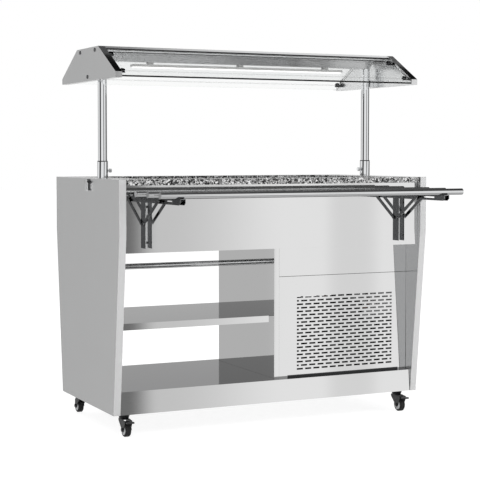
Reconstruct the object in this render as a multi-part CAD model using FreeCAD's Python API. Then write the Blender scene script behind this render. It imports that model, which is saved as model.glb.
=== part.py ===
"""Mobile refrigerated salad bar on castors: a stone-edged cold well between two steel end
panels, a glass hood on two posts with a light, and a folding tray slide on each long side.

Millimetres, +Z up.  The customer side faces -Y.  Pieces are drawn about the middle of the
cabinet; save() then shifts them so that the origin lies on the floor under the middle of
the whole outline, with the front slide raised and the rear slide folded down.
"""

import FreeCAD, Part
import math
import os

V = FreeCAD.Vector
X_AXIS = V(1, 0, 0)
Y_AXIS = V(0, 1, 0)
Z_AXIS = V(0, 0, 1)

# ---- driving sizes ---------------------------------------------------------------------
SHEET = 1.5                    # steel sheet of the body
GAP = 0.3                      # running gap between pieces that move on each other

PAN_COUNT = 3                  # full-size pans side by side
PAN_W = 325.0
PAN_L = 530.0
PAN_RIM = 10.0                 # rim that rests on each side of the opening
END_ROOM = 122.5               # from the well opening to the end panel's outer face
SIDE_ROOM = 80.0               # from the well opening to the end panel's long edge
TAPER = 62.5                   # each side, from the knee to the foot
TOP_Z = 876.0                  # stone surface and end panel tops
KNEE_Z = 685.0                 # the end panels taper below this
FOOT_Z = 78.0                  # castor height
PANEL_T = 25.0                 # end panel thickness

STONE_T = 20.0
STONE_SETBACK = 10.0           # stone front behind the end panel edge
STONE_BEVEL = 1.5
WELL_TUB_H = 180.0
WELL_FLANGE = 18.0
WELL_SHEET = 1.2

APRON_SETBACK = 20.0
APRON_BOTTOM_Z = 629.0
APRON_RETURN = 25.0
FOAM_T = 40.0
FOAM_LIFT = 7.0                # foam above the underfloor
COIL_TUBE_R = 5.0
COIL_RUNS = 4
COIL_TURN_GAP = 2.0            # straight between the two quarter bends of a turn
COIL_FROM_END = 22.0           # tails inside the tub's end wall
COIL_FROM_TAIL = 40.0          # inner turns stop short of the tails
COIL_TAIL_BEND = 15.0
COIL_SPACE = 12.0              # between tub floor and foam
LINE_ROOM = 5.0                # around a line that passes through foam or tray
LINE_JOINT_DROP = 12.0         # lines are joined this far under the aprons
SUCTION_R = 5.0
DRIER_R = 11.0
DRIER_L = 95.0

DECK_Z = 157.0
DECK_SETBACK = 2.5             # deck front behind the end panel's foot
DECK_RETURN = 15.0
SHELF_Z = 384.0
SHELF_LIP = 23.0
SHELF_SETBACK = 3.0            # behind the partition's edges
SHELF_RETURN = 10.0
SHELF_NOTCH = 20.0             # lips stop short of the partition
INNER_SETBACK = 34.5           # partition and machine panels behind the end panel's foot
PARTITION_X = 23.0
PARTITION_T = 20.0

FASCIA_Z = 521.0               # seam between fascia and vent panel
PANEL_SEAM = 1.5
VENT_FOOT_GAP = 8.0
PANEL_RETURN = 14.0
SLOT_L = 25.0
SLOT_H = 6.0
SLOT_PITCH_X = 34.0
SLOT_PITCH_Z = 13.0
SLOT_ROWS = 21
SLOT_COLS = 12
SLOT_INSET = 72.0              # partition to the slot field
SLOT_TOP_Z = 448.0
REAR_SLOT_L = 58.0
REAR_SLOT_PITCH = 70.0
REAR_SLOT_COLS = 6
REAR_SLOT_ROWS = 12

POST_FROM_END = 63.0           # post axis from the end panel's outer face
POST_R = 16.0
POST_WALL = 1.5
SOCKET_R = 19.0
SOCKET_H = 58.0
SOCKET_FLOOR = 6.0
SOCKET_STUD_R = 10.0
SOCKET_STUD_L = 38.0
SOCKET_NUT_R = 17.0
SOCKET_NUT_H = 9.0
BORE_FIT = 0.25                # radial, post in socket
SCREW_Z = 26.0                 # thumb screw above the stone
SCREW_STEM_R = 3.0
SCREW_HEAD_R = 7.0
SCREW_HEAD_H = 8.0
SCREW_STAND = 5.0              # stem showing between socket and head
SCREW_GRIPS = 12

HOOD_ABOVE = 340.0             # hood's lower edge above the stone
HOOD_HEM = 20.0                # upright hem under the slope
HOOD_RISE = 96.0               # of the slope
HOOD_HALF_TOP = 112.0
HOOD_SETBACK = 52.0            # hood's long edge inside the end panel's
HOOD_END_SETBACK = 8.0         # hood end inside the end panel's outer face
HOOD_END_T = 24.0
CAP_LIP = 10.0
CAP_STEP = 17.0
CAP_TAIL = 10.0
GLASS_T = 6.0
GLASS_INSET = 10.0             # glass surface below the end plate's slope
GLASS_FOOT_UP = 8.0            # pane's lower edge above the hood's
GLASS_END_GAP = 1.0
CLAMP_R = 8.0
CLAMP_H = 4.0
CLAMP_PIN_R = 4.0
CLAMP_FROM_END = 13.0
CLAMP_FROM_EDGE = 36.0
LUG_UP = 15.0                  # lug's middle above the hood's lower edge
LUG_H = 24.0

LAMP_HOUSING_INSET = 23.0      # housing's end inside the hood's end plate
LAMP_HOUSING_H = 48.0
LAMP_HOUSING_SIDE = 20.0       # upright part of its sides
LAMP_HOUSING_TOP = 94.0
LAMP_HOUSING_FOOT = 34.0
LAMP_FROM_POST = 112.0         # lamp's end from the post axis
LAMP_W = 36.0
LAMP_H = 9.0
LAMP_DROP = 7.0                # gap under the housing, bridged by the clips
LAMP_CLIPS = 3
DIFFUSER_H = 6.0
DIFFUSER_W = 26.0

BRACKET_FROM_END = 105.0       # bracket's middle from the end panel's outer face
LEG_W = 25.0
LEG_DEEP = 21.0
LEG_DROP = 54.0                # leg's top under the stone surface
LEG_H = 177.0
LEG_T = 2.0
LEG_HOLE_R = 2.6
LEG_HOLE_FROM_END = 19.0
PIVOT_OUT = 13.0               # pivots in front of the apron
ARM_PIVOT_DROP = 13.0          # pivot under the leg's top
ARM_W = 20.0
ARM_H = 20.0
ARM_T = 2.0
ARM_L = 297.0                  # pivot to tip
PIVOT_PIN_R = 4.0
BRACE_DROP = 80.0              # brace pivot under the arm's
BRACE_REACH = 127.0            # pivot to the brace's seat along the arm, raised
BRACE_W = 12.0
BRACE_T = 3.0
BRACE_PIN_R = 3.0
BRACE_GAP = 0.5                # brace bar beside the leg
PIN_HEAD_H = 2.0
PIN_FIT = 0.2
RAIL_R = 11.0
RAIL_WALL = 1.2
RAIL_OVERHANG = 70.0           # past the bracket's middle
RAIL_COUNT = 3
RAIL_FIRST = 72.0              # pivot to the first rail
RAIL_PITCH = 105.0
PLUG_L = 12.0
PLUG_CAP = 2.0

CASTOR_FROM_END = 55.0         # kingpin from the end panel's outer face
CASTOR_FROM_EDGE = 46.5        # kingpin from the end panel's foot
CASTOR_TRAIL = 21.0
CASTOR_PLATE = 58.0
CASTOR_PLATE_T = 2.5
RACE_R = 17.0
RACE_H = 3.2
SWIVEL_R = 20.0
SWIVEL_H = 12.0
KINGPIN_R = 4.0
FORK_WEB_T = 2.5
FORK_GAP = 24.0                # between the fork's legs
FORK_T = 2.0
FORK_HALF = 17.0
AXLE_BOSS_R = 9.0
AXLE_R = 3.0
AXLE_FIT = 0.1
NUT_R = 5.5
NUT_H = 4.0
WHEEL_R = 25.0
WHEEL_W = 20.0
TYRE_T = 7.0
TYRE_BEVEL = 2.5
HUB_RECESS = 3.0
HUB_BOSS_R = 7.0
PEDAL_W = 21.0
PEDAL_T = 3.0
PEDAL_L = 27.0
PEDAL_PIVOT_BACK = 17.0        # behind the axle
PEDAL_PIVOT_Z = 53.5
PEDAL_PIN_R = 2.0
CHANNEL_W = 58.0
CHANNEL_H = 30.0
CHANNEL_T = 2.0

MACHINE_INSET = 257.0          # partition to the middle of fan and condenser
FAN_UP = 143.0                 # fan axis above the deck
FAN_R = 92.0
FAN_OPENING_R = 97.0
FAN_BLADES = 5
FAN_HUB_R = 22.0
FAN_HUB_L = 24.0
FAN_NOSE = 5.0
FAN_PITCH = 32.0               # blade angle in degrees
BLADE_T = 2.0
SHROUD_W = 230.0
SHROUD_DEEP = 50.0
CONDENSER_BACK = 48.0          # condenser behind the vent panel
CONDENSER_T = 48.0
CONDENSER_FINS = 21
CONDENSER_CORE = 14.0          # depth of the tube block between the fins
CONDENSER_TUBE_R = 4.0
FIN_T = 1.0
MOTOR_R = 28.0
MOTOR_L = 46.0
MOTOR_SHAFT_R = 3.0
SPIDER_W = 14.0
COMP_FROM_END = 150.0          # compressor's middle from the end panel's outer face
COMP_Y = 90.0
COMP_R = 72.0
COMP_H = 150.0
COMP_FEET = 12.0
COMP_SEAM = 5.0
COMP_STUB_OFFSET = 20.0
SUCTION_LOOP = 60.0            # suction line's loop above the compressor
BASE_PLATE_T = 2.0

CONTROL_INSET = 287.0          # partition to the middle of the controls
CONTROL_DROP = 54.0            # middle of the controls under the aprons
CONTROL_W = 190.0
CONTROL_H = 66.0
CONTROL_T = 3.0
CONTROL_BOX_DEEP = 70.0
KNOB_R = 17.0
KNOB_H = 14.0
KNOB_BEVEL = 2.0
KNOB_GRIP = 6.0                # half the width of the finger bar
SPINDLE_R = 3.0
ROCKER_W = 13.0
ROCKER_H = 24.0
ROCKER_TILT = 8.0
ROCKER_HUB_R = 3.5
INLET_W = 48.0
INLET_H = 28.0
INLET_UP = 43.0                # inlet's middle above the deck

DRAIN_INSET = 87.0             # partition to the drain's axis
DRAIN_R = 13.0
DRAIN_WALL = 2.0
DRAIN_VALVE_DROP = 44.0        # valve under the aprons
DRAIN_END_DROP = 99.0
VALVE_R = 19.0
VALVE_H = 34.0
LEVER_L = 62.0

LATCH_Y = -32.0
LATCH_W = 25.0
LATCH_H = 39.0
LATCH_TOP_GAP = 3.0
LATCH_PLATE_T = 2.0
LATCH_PIN_OUT = 6.4            # pin in front of the panel
LATCH_PIN_R = 2.0
LATCH_PIN_DROP = 9.0           # pin below the plate's top
LATCH_HUB_R = 4.0
LATCH_LEVER_T = 3.0
LATCH_LIP = 2.0                # finger lip in front of the lever

# ---- sizes worked out from the driving ones ----------------------------------------------
WELL_HALF_X = (PAN_COUNT * PAN_W) / 2 - PAN_RIM
WELL_HALF_Y = PAN_L / 2 - PAN_RIM
HALF_L = WELL_HALF_X + END_ROOM
INNER_X = HALF_L - PANEL_T
HALF_DEPTH = WELL_HALF_Y + SIDE_ROOM
HALF_FOOT = HALF_DEPTH - TAPER
STONE_Y = HALF_DEPTH - STONE_SETBACK
STONE_Z = TOP_Z - STONE_T
WELL_FLOOR_Z = STONE_Z - WELL_TUB_H
APRON_Y = HALF_DEPTH - APRON_SETBACK
FOAM_FLOOR_Z = WELL_FLOOR_Z - WELL_SHEET - COIL_SPACE
FOAM_Z = APRON_BOTTOM_Z + FOAM_LIFT
DECK_Y = HALF_FOOT - DECK_SETBACK
INNER_Y = HALF_FOOT - INNER_SETBACK
MACHINE_LEFT = PARTITION_X + PARTITION_T
SLOT_X0 = MACHINE_LEFT + SLOT_INSET
MACHINE_X = MACHINE_LEFT + MACHINE_INSET
FAN_Z = DECK_Z + FAN_UP
CONDENSER_Y = CONDENSER_BACK - INNER_Y
CONDENSER_MID_Y = CONDENSER_Y + CONDENSER_T / 2
SHROUD_Y = CONDENSER_Y + CONDENSER_T
COMP_X = HALF_L - COMP_FROM_END
COMP_Z = DECK_Z + BASE_PLATE_T + COMP_FEET
COIL_Z = WELL_FLOOR_Z - WELL_SHEET - GAP - COIL_TUBE_R
COIL_HALF = -CONDENSER_MID_Y
COIL_PITCH = 2 * COIL_HALF / (COIL_RUNS - 1)
LINE_JOINT_Z = APRON_BOTTOM_Z - LINE_JOINT_DROP
CONTROL_X = MACHINE_LEFT + CONTROL_INSET
CONTROL_Z = APRON_BOTTOM_Z - CONTROL_DROP
INLET_Z = DECK_Z + INLET_UP
DRAIN_X = MACHINE_LEFT + DRAIN_INSET
DRAIN_VALVE_Z = APRON_BOTTOM_Z - DRAIN_VALVE_DROP
DRAIN_END_Z = APRON_BOTTOM_Z - DRAIN_END_DROP
BRACKET_X = HALF_L - BRACKET_FROM_END
LEG_TOP_Z = TOP_Z - LEG_DROP
ARM_PIVOT_Z = LEG_TOP_Z - ARM_PIVOT_DROP
BRACE_PIVOT_Z = ARM_PIVOT_Z - BRACE_DROP
PIVOT_Y = APRON_Y + PIVOT_OUT
RAIL_Z = ARM_PIVOT_Z + ARM_H / 2 + RAIL_R
RAIL_L = 2 * (BRACKET_X + RAIL_OVERHANG)
BRACE_L = math.hypot(BRACE_REACH, BRACE_DROP)
BRACE_ANGLE = math.degrees(math.atan2(BRACE_DROP, BRACE_REACH))
BRACE_SWEEP = 90.0 + BRACE_ANGLE
AXLE_Z = WHEEL_R
CASTOR_X = HALF_L - CASTOR_FROM_END
CASTOR_Y = HALF_FOOT - CASTOR_FROM_EDGE
POST_X = HALF_L - POST_FROM_END
HOOD_X = HALF_L - HOOD_END_SETBACK
HOOD_INNER_X = HOOD_X - HOOD_END_T
HOOD_HALF_FOOT = HALF_DEPTH - HOOD_SETBACK
HOOD_BOTTOM_Z = TOP_Z + HOOD_ABOVE
HOOD_HEM_Z = HOOD_BOTTOM_Z + HOOD_HEM
HOOD_TOP_Z = HOOD_HEM_Z + HOOD_RISE
GLASS_FOOT_Z = HOOD_BOTTOM_Z + GLASS_FOOT_UP
LUG_Z = HOOD_BOTTOM_Z + LUG_UP
LAMP_HOUSING_L = 2 * (HOOD_INNER_X - LAMP_HOUSING_INSET)
LAMP_HOUSING_Z = HOOD_TOP_Z - LAMP_HOUSING_H
LAMP_HOUSING_KNEE_Z = HOOD_TOP_Z - LAMP_HOUSING_SIDE
LAMP_L = 2 * (POST_X - LAMP_FROM_POST)
SLOPE = V(0, HOOD_HALF_TOP - HOOD_HALF_FOOT, HOOD_HEM_Z - HOOD_TOP_Z)
SLOPE_DIR = V(SLOPE).normalize()
SLOPE_IN = V(0, -SLOPE_DIR.z, SLOPE_DIR.y)
LATCH_REACH = LATCH_PIN_OUT + LATCH_HUB_R + LATCH_LIP
FRONT_REACH = PIVOT_Y + max(ARM_L, RAIL_FIRST + RAIL_PITCH * (RAIL_COUNT - 1) + RAIL_R)
REAR_REACH = max(HALF_DEPTH, PIVOT_Y + ARM_H / 2 + 2 * RAIL_R)
ORIGIN_X = LATCH_REACH / 2
ORIGIN_Y = (FRONT_REACH - REAR_REACH) / 2


# ---- helpers ------------------------------------------------------------------------------
def box(x0, x1, y0, y1, z0, z1):
    return Part.makeBox(x1 - x0, y1 - y0, z1 - z0, V(x0, y0, z0))


def cylinder(radius, start, direction, length):
    return Part.makeCylinder(radius, length, start, direction)


def tube(radius, wall, start, direction, length):
    return cylinder(radius, start, direction, length).cut(
        cylinder(radius - wall, start, direction, length))


def yz_face(points, x):
    """Face in the plane X = x from (y, z) points."""
    ring = [V(x, y, z) for y, z in points]
    return Part.Face(Part.makePolygon(ring + ring[:1]))


def yz_prism(points, x0, x1):
    return yz_face(points, x0).extrude(V(x1 - x0, 0, 0))


def fold_points(line, thickness):
    """Outline of a folded sheet: the line, and the same line one thickness to its left."""
    def shifted(a, b):
        dy, dz = b[0] - a[0], b[1] - a[1]
        length = math.hypot(dy, dz)
        off = (-dz / length * thickness, dy / length * thickness)
        return (a[0] + off[0], a[1] + off[1]), (b[0] + off[0], b[1] + off[1])

    segments = [shifted(a, b) for a, b in zip(line, line[1:])]
    inner = [segments[0][0]]
    for (a, b), (c, d) in zip(segments, segments[1:]):
        uy, uz, vy, vz = b[0] - a[0], b[1] - a[1], d[0] - c[0], d[1] - c[1]
        along = ((c[0] - a[0]) * vz - (c[1] - a[1]) * vy) / (uy * vz - uz * vy)
        inner.append((a[0] + along * uy, a[1] + along * uz))
    inner.append(segments[-1][1])
    return list(line) + inner[::-1]


def folded(line, thickness, x0, x1):
    """Sheet folded along (y, z) points and running from x0 to x1."""
    return yz_prism(fold_points(line, thickness), x0, x1)


def strips(line, thickness, x0, x1):
    """The same folded sheet as its flat lengths, mitred where they meet."""
    outline = fold_points(line, thickness)
    inner = outline[len(line):][::-1]
    return [yz_prism([line[k], line[k + 1], inner[k + 1], inner[k]], x0, x1) for k in range(len(line) - 1)]


def mirrored_y(shape):
    return shape.mirror(V(0, 0, 0), Y_AXIS)


def mirrored_x(shape):
    return shape.mirror(V(0, 0, 0), X_AXIS)


def turned_half(shape):
    """Half a turn about the vertical through the cabinet's middle."""
    copy = shape.copy()
    copy.rotate(V(0, 0, 0), Z_AXIS, 180)
    return copy


def bent_tube(points, radius, bends):
    """Round rod along straight runs, with a quarter or other arc of the given bend at each corner."""
    runs = []
    start = points[0]
    for before, corner, after, bend in zip(points, points[1:], points[2:], bends):
        a = V(before - corner).normalize()
        b = V(after - corner).normalize()
        half = a.getAngle(b) / 2
        first = corner + a * (bend / math.tan(half))
        last = corner + b * (bend / math.tan(half))
        centre = corner + V(a + b).normalize() * (bend / math.sin(half))
        section = Part.Face(Part.Wire(Part.makeCircle(radius, first, a)))
        turn = V(first - centre).cross(a * -1)
        runs.append(cylinder(radius, start, first - start, (first - start).Length))
        runs.append(section.revolve(centre, turn, 180 - 2 * math.degrees(half)))
        start = last
    runs.append(cylinder(radius, start, points[-1] - start, (points[-1] - start).Length))
    return runs[0].multiFuse(runs[1:]).removeSplitter()


PIECES = {}


def save(name, *solids):
    """Keep the solids of one sub-part, shifted into the part's own frame."""
    moved = []
    for solid in solids:
        for one in solid.Solids:
            copy = one.copy()
            copy.translate(V(ORIGIN_X, ORIGIN_Y, 0))
            moved.append(copy)
    PIECES[name] = moved[0] if len(moved) == 1 else Part.makeCompound(moved)


# ---- cabinet --------------------------------------------------------------------------------
def pan_and_liner(outline, x_out, x_in):
    """Double-skinned panel: a pan with returned edges, closed by a flat liner."""
    sign = 1 if x_in > x_out else -1
    face = yz_face(outline, x_out + sign * SHEET)
    hollow = face.makeOffset2D(-SHEET, join=2).extrude(V(x_in - x_out, 0, 0))
    pan = yz_face(outline, x_out).extrude(V(x_in - x_out, 0, 0)).cut(hollow)
    liner = yz_face(outline, x_in).makeOffset2D(-SHEET, join=2).extrude(V(-sign * SHEET, 0, 0))
    return pan, liner


def end_panels():
    top, foot = HALF_DEPTH, HALF_FOOT
    outline = [(-foot, FOOT_Z), (foot, FOOT_Z), (top, KNEE_Z), (top, TOP_Z), (-top, TOP_Z), (-top, KNEE_Z)]
    save("end_panel_left", *pan_and_liner(outline, -HALF_L, -INNER_X))
    save("end_panel_right", *pan_and_liner(outline, HALF_L, INNER_X))


def aprons():
    front = -APRON_Y
    line = [(front + APRON_RETURN, STONE_Z), (front, STONE_Z), (front, APRON_BOTTOM_Z),
            (front + APRON_RETURN, APRON_BOTTOM_Z)]
    apron = folded(line, SHEET, -INNER_X, INNER_X)
    save("apron_front", apron)
    save("apron_rear", mirrored_y(apron))
    inner = APRON_Y - APRON_RETURN
    tray = box(-INNER_X, INNER_X, -inner, inner, APRON_BOTTOM_Z, APRON_BOTTOM_Z + SHEET)
    save("underfloor", tray.cut(pipe_hole(APRON_BOTTOM_Z, SHEET)).cut(coil_holes(APRON_BOTTOM_Z, SHEET)))


def pipe_hole(z, height):
    return cylinder(DRAIN_R + LINE_ROOM, V(DRAIN_X, 0, z), Z_AXIS, height)


def coil_ends():
    """Where the coil's two tails drop through the insulation."""
    x = WELL_HALF_X - COIL_FROM_END
    return [V(x, -COIL_HALF, COIL_Z), V(x, COIL_HALF, COIL_Z)]


def coil_holes(z, height):
    holes = [cylinder(COIL_TUBE_R + LINE_ROOM, V(p.x, p.y, z), Z_AXIS, height) for p in coil_ends()]
    return holes[0].fuse(holes[1])


def stone_top():
    """Four lengths of stone, butted at the corners of the opening."""
    rear = box(-INNER_X, INNER_X, WELL_HALF_Y, STONE_Y, STONE_Z, TOP_Z)
    outer = [e for e in rear.Edges if e.BoundBox.ZMin > TOP_Z - 1 and e.BoundBox.YMin > STONE_Y - 1]
    rear = rear.makeChamfer(STONE_BEVEL, outer)
    end = box(WELL_HALF_X, INNER_X, -WELL_HALF_Y, WELL_HALF_Y, STONE_Z, TOP_Z)
    end = end.cut(cylinder(SOCKET_STUD_R + 0.5, V(POST_X, 0, STONE_Z), Z_AXIS, STONE_T))
    save("granite_top", rear, mirrored_y(rear), end, mirrored_x(end))


def well():
    """Welded tub: floor, four walls and a flange that hangs under the stone."""
    t = WELL_SHEET
    x, y = WELL_HALF_X, WELL_HALF_Y
    floor = box(-x - t, x + t, -y - t, y + t, WELL_FLOOR_Z - t, WELL_FLOOR_Z)
    floor = floor.cut(cylinder(DRAIN_R - DRAIN_WALL, V(DRAIN_X, 0, WELL_FLOOR_Z - t), Z_AXIS, t))
    wall_x = box(x, x + t, -y - t, y + t, WELL_FLOOR_Z, STONE_Z)
    wall_y = box(-x, x, y, y + t, WELL_FLOOR_Z, STONE_Z)
    lip_x = box(x + t, x + WELL_FLANGE, -y - t, y + t, STONE_Z - t, STONE_Z)
    lip_y = box(-x - WELL_FLANGE, x + WELL_FLANGE, y + t, y + WELL_FLANGE, STONE_Z - t, STONE_Z)
    save("well_tub", floor, wall_x, mirrored_x(wall_x), wall_y, mirrored_y(wall_y),
         lip_x, mirrored_x(lip_x), lip_y, mirrored_y(lip_y))

    foam_top = STONE_Z - t - GAP
    foam = box(-WELL_HALF_X - FOAM_T, WELL_HALF_X + FOAM_T, -WELL_HALF_Y - FOAM_T, WELL_HALF_Y + FOAM_T,
               FOAM_Z, foam_top)
    cavity = box(-x - t - GAP, x + t + GAP, -y - t - GAP, y + t + GAP, FOAM_FLOOR_Z, foam_top)
    foam = foam.cut(cavity).cut(pipe_hole(FOAM_Z, FOAM_T * 2)).cut(coil_holes(FOAM_Z, FOAM_T))
    feet = [box(side * WELL_HALF_X - 20, side * WELL_HALF_X + 20, -WELL_HALF_Y, WELL_HALF_Y,
                APRON_BOTTOM_Z + SHEET, FOAM_Z) for side in (-0.9, 0, 0.8)]
    for foot in feet:
        foam = foam.fuse(foot)
    save("well_insulation", foam.cut(pipe_hole(APRON_BOTTOM_Z, FOAM_LIFT)).removeSplitter())


def refrigerant_lines():
    """Serpentine evaporator under the tub floor, and the lines that join it to the machine."""
    save("refrigerant_lines", evaporator(), suction_line(), liquid_line(), discharge_line())


def evaporator():
    first, last = coil_ends()
    left, right = -first.x, first.x - COIL_FROM_TAIL
    points = [V(first.x, first.y, LINE_JOINT_Z), first]
    for run in range(COIL_RUNS - 1):
        y = first.y + run * COIL_PITCH
        x = right if run % 2 else left
        points += [V(x, y, COIL_Z), V(x, y + COIL_PITCH, COIL_Z)]
    points += [last, V(last.x, last.y, LINE_JOINT_Z)]
    turn = (COIL_PITCH - COIL_TURN_GAP) / 2
    bends = [COIL_TAIL_BEND] + [turn] * (len(points) - 4) + [COIL_TAIL_BEND]
    return bent_tube(points, COIL_TUBE_R, bends)


def suction_line():
    """From the coil's rear tail to the top of the compressor."""
    start = coil_ends()[1]
    x = COMP_X - COMP_STUB_OFFSET
    top = COMP_Z + COMP_H
    points = [V(start.x, start.y, LINE_JOINT_Z), V(start.x, start.y, top + SUCTION_LOOP),
              V(x, COMP_Y, top + SUCTION_LOOP), V(x, COMP_Y, top)]
    return bent_tube(points, SUCTION_R, [COIL_TAIL_BEND] * 2)


def liquid_line():
    """From the coil's front tail, through the drier, to the condenser's upper tube."""
    start = coil_ends()[0]
    z = condenser_rows()[-1]
    points = [V(start.x, start.y, LINE_JOINT_Z), V(start.x, start.y, z),
              V(MACHINE_X + SHROUD_W / 2, CONDENSER_MID_Y, z)]
    drier = cylinder(DRIER_R, V(start.x, start.y, z + DRIER_L / 2), Z_AXIS, DRIER_L)
    return bent_tube(points, SUCTION_R, [COIL_TAIL_BEND]).fuse(drier).removeSplitter()


def discharge_line():
    """From the compressor's side to the condenser's lower tube."""
    z = condenser_rows()[0]
    points = [V(COMP_X, COMP_Y - COMP_R, z), V(COMP_X, CONDENSER_MID_Y, z),
              V(MACHINE_X + SHROUD_W / 2, CONDENSER_MID_Y, z)]
    return bent_tube(points, SUCTION_R, [COIL_TAIL_BEND])


def base():
    half = DECK_Y
    skirt = [(-half + DECK_RETURN, FOOT_Z), (-half, FOOT_Z), (-half, DECK_Z), (half, DECK_Z),
             (half, FOOT_Z), (half - DECK_RETURN, FOOT_Z)]
    save("base_deck", *strips(skirt[::-1], SHEET, -INNER_X, INNER_X))

    channel_line = [(-CHANNEL_W / 2, CHANNEL_H), (-CHANNEL_W / 2, 0), (CHANNEL_W / 2, 0), (CHANNEL_W / 2, CHANNEL_H)]
    solids = []
    for side in (-1, 1):
        channel = folded(channel_line, CHANNEL_T, -half + DECK_RETURN, half - DECK_RETURN)
        channel.rotate(V(0, 0, 0), Z_AXIS, 90)
        channel.translate(V(side * (INNER_X - CHANNEL_W / 2), 0, FOOT_Z))
        solids.append(channel)
        solids += [castor_plate(side * CASTOR_X, way * CASTOR_Y) for way in (-1, 1)]
    save("castor_channels", *solids)


def shelf_and_partition():
    half = INNER_Y - SHELF_SETBACK
    low = SHELF_Z - SHELF_LIP
    line = [(-half + SHELF_RETURN, low), (-half, low), (-half, SHELF_Z), (half, SHELF_Z), (half, low),
            (half - SHELF_RETURN, low)]
    skin = strips(line[::-1], SHEET, -INNER_X, PARTITION_X)[2]
    lips = strips(line[::-1], SHEET, -INNER_X, PARTITION_X - SHELF_NOTCH)
    save("mid_shelf", skin, *(lips[:2] + lips[3:]))
    outline = [(-INNER_Y, DECK_Z), (INNER_Y, DECK_Z), (INNER_Y, APRON_BOTTOM_Z), (-INNER_Y, APRON_BOTTOM_Z)]
    save("partition", *pan_and_liner(outline, PARTITION_X, MACHINE_LEFT))


def slotted(panel, x0, z_top, length, pitch, cols, rows, y):
    """Cut staggered rows of slots; every second row is shifted half a pitch and clipped."""
    field_end = x0 + pitch * (cols - 1) + length
    cutters = []
    for row in range(rows):
        z = z_top - row * SLOT_PITCH_Z
        shift = pitch / 2 if row % 2 else 0.0
        for col in range(-1, cols + 1):
            left = max(x0, x0 + shift + col * pitch)
            right = min(field_end, x0 + shift + col * pitch + length)
            if right - left > SLOT_H / 2:
                cutters.append(box(left, right, y - SHEET * 2, y + SHEET * 2, z - SLOT_H, z))
    return panel.cut(Part.makeCompound(cutters))


def machine_panels():
    left, right = MACHINE_LEFT, INNER_X
    y = -INNER_Y
    upper = [(y + PANEL_RETURN, APRON_BOTTOM_Z), (y, APRON_BOTTOM_Z), (y, FASCIA_Z + PANEL_SEAM),
             (y + PANEL_RETURN, FASCIA_Z + PANEL_SEAM)]
    save("front_fascia", folded(upper, SHEET, left, right))
    low = DECK_Z + VENT_FOOT_GAP
    lower = [(y + PANEL_RETURN, FASCIA_Z), (y, FASCIA_Z), (y, low), (y + PANEL_RETURN, low)]
    vent = folded(lower, SHEET, left, right)
    for x in (left, right - SLOT_PITCH_X):
        vent = vent.fuse(box(x, x + SLOT_PITCH_X, y, y + SHEET, DECK_Z, low))
    vent = vent.removeSplitter()
    save("vent_panel", slotted(vent, SLOT_X0, SLOT_TOP_Z, SLOT_L, SLOT_PITCH_X, SLOT_COLS, SLOT_ROWS, y))

    whole = [(y + PANEL_RETURN, APRON_BOTTOM_Z), (y, APRON_BOTTOM_Z), (y, DECK_Z), (y + PANEL_RETURN, DECK_Z)]
    rear = mirrored_y(folded(whole, SHEET, left, right))
    rear = slotted(rear, SLOT_X0, SLOT_TOP_Z, REAR_SLOT_L, REAR_SLOT_PITCH, REAR_SLOT_COLS, REAR_SLOT_ROWS, INNER_Y)
    window = box(CONTROL_X - CONTROL_W / 2 + 8, CONTROL_X + CONTROL_W / 2 - 8, INNER_Y - 5, INNER_Y + 5,
                 CONTROL_Z - CONTROL_H / 2 + 8, CONTROL_Z + CONTROL_H / 2 - 8)
    inlet = box(CONTROL_X - INLET_W / 2 + 4, CONTROL_X + INLET_W / 2 - 4, INNER_Y - 5, INNER_Y + 5,
                INLET_Z - INLET_H / 2 + 3, INLET_Z + INLET_H / 2 - 3)
    save("rear_panel", rear.cut(window).cut(inlet))


# ---- machine --------------------------------------------------------------------------------
def condenser_rows():
    """Heights of the tube ends, the lowest at the level of the compressor's outlet."""
    low = COMP_Z + COMP_H * 0.4
    high = FAN_Z + SHROUD_W / 2 - 30
    return [low, low + (high - low) / 3, low + (high - low) * 2 / 3, high]


def condenser():
    """Fins on a tube block between two end plates, with return bends on the far side."""
    half = SHROUD_W / 2
    x0, x1 = MACHINE_X - half, MACHINE_X + half
    z1 = FAN_Z + half
    y0, y1 = CONDENSER_Y, CONDENSER_Y + CONDENSER_T
    block = box(x0, x1, CONDENSER_MID_Y - CONDENSER_CORE / 2, CONDENSER_MID_Y + CONDENSER_CORE / 2, DECK_Z, z1)
    pieces = [box(x0, x0 + 2 * FIN_T, y0, y1, DECK_Z, z1), box(x1 - 2 * FIN_T, x1, y0, y1, DECK_Z, z1)]
    pitch = SHROUD_W / (CONDENSER_FINS + 1)
    for fin in range(1, CONDENSER_FINS + 1):
        x = x0 + fin * pitch
        pieces.append(box(x - FIN_T / 2, x + FIN_T / 2, y0 + FIN_T, y1 - FIN_T, DECK_Z + FIN_T, z1 - FIN_T))
    rows = condenser_rows()
    reach = 3 * CONDENSER_TUBE_R
    for low, high in zip(rows[:-1], rows[1:]):
        points = [V(x0, CONDENSER_MID_Y, low), V(x0 - reach, CONDENSER_MID_Y, low),
                  V(x0 - reach, CONDENSER_MID_Y, high), V(x0, CONDENSER_MID_Y, high)]
        if low != rows[1]:
            pieces.append(bent_tube(points, CONDENSER_TUBE_R, [2 * CONDENSER_TUBE_R] * 2))
    save("condenser", block.multiFuse(pieces).removeSplitter())


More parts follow.
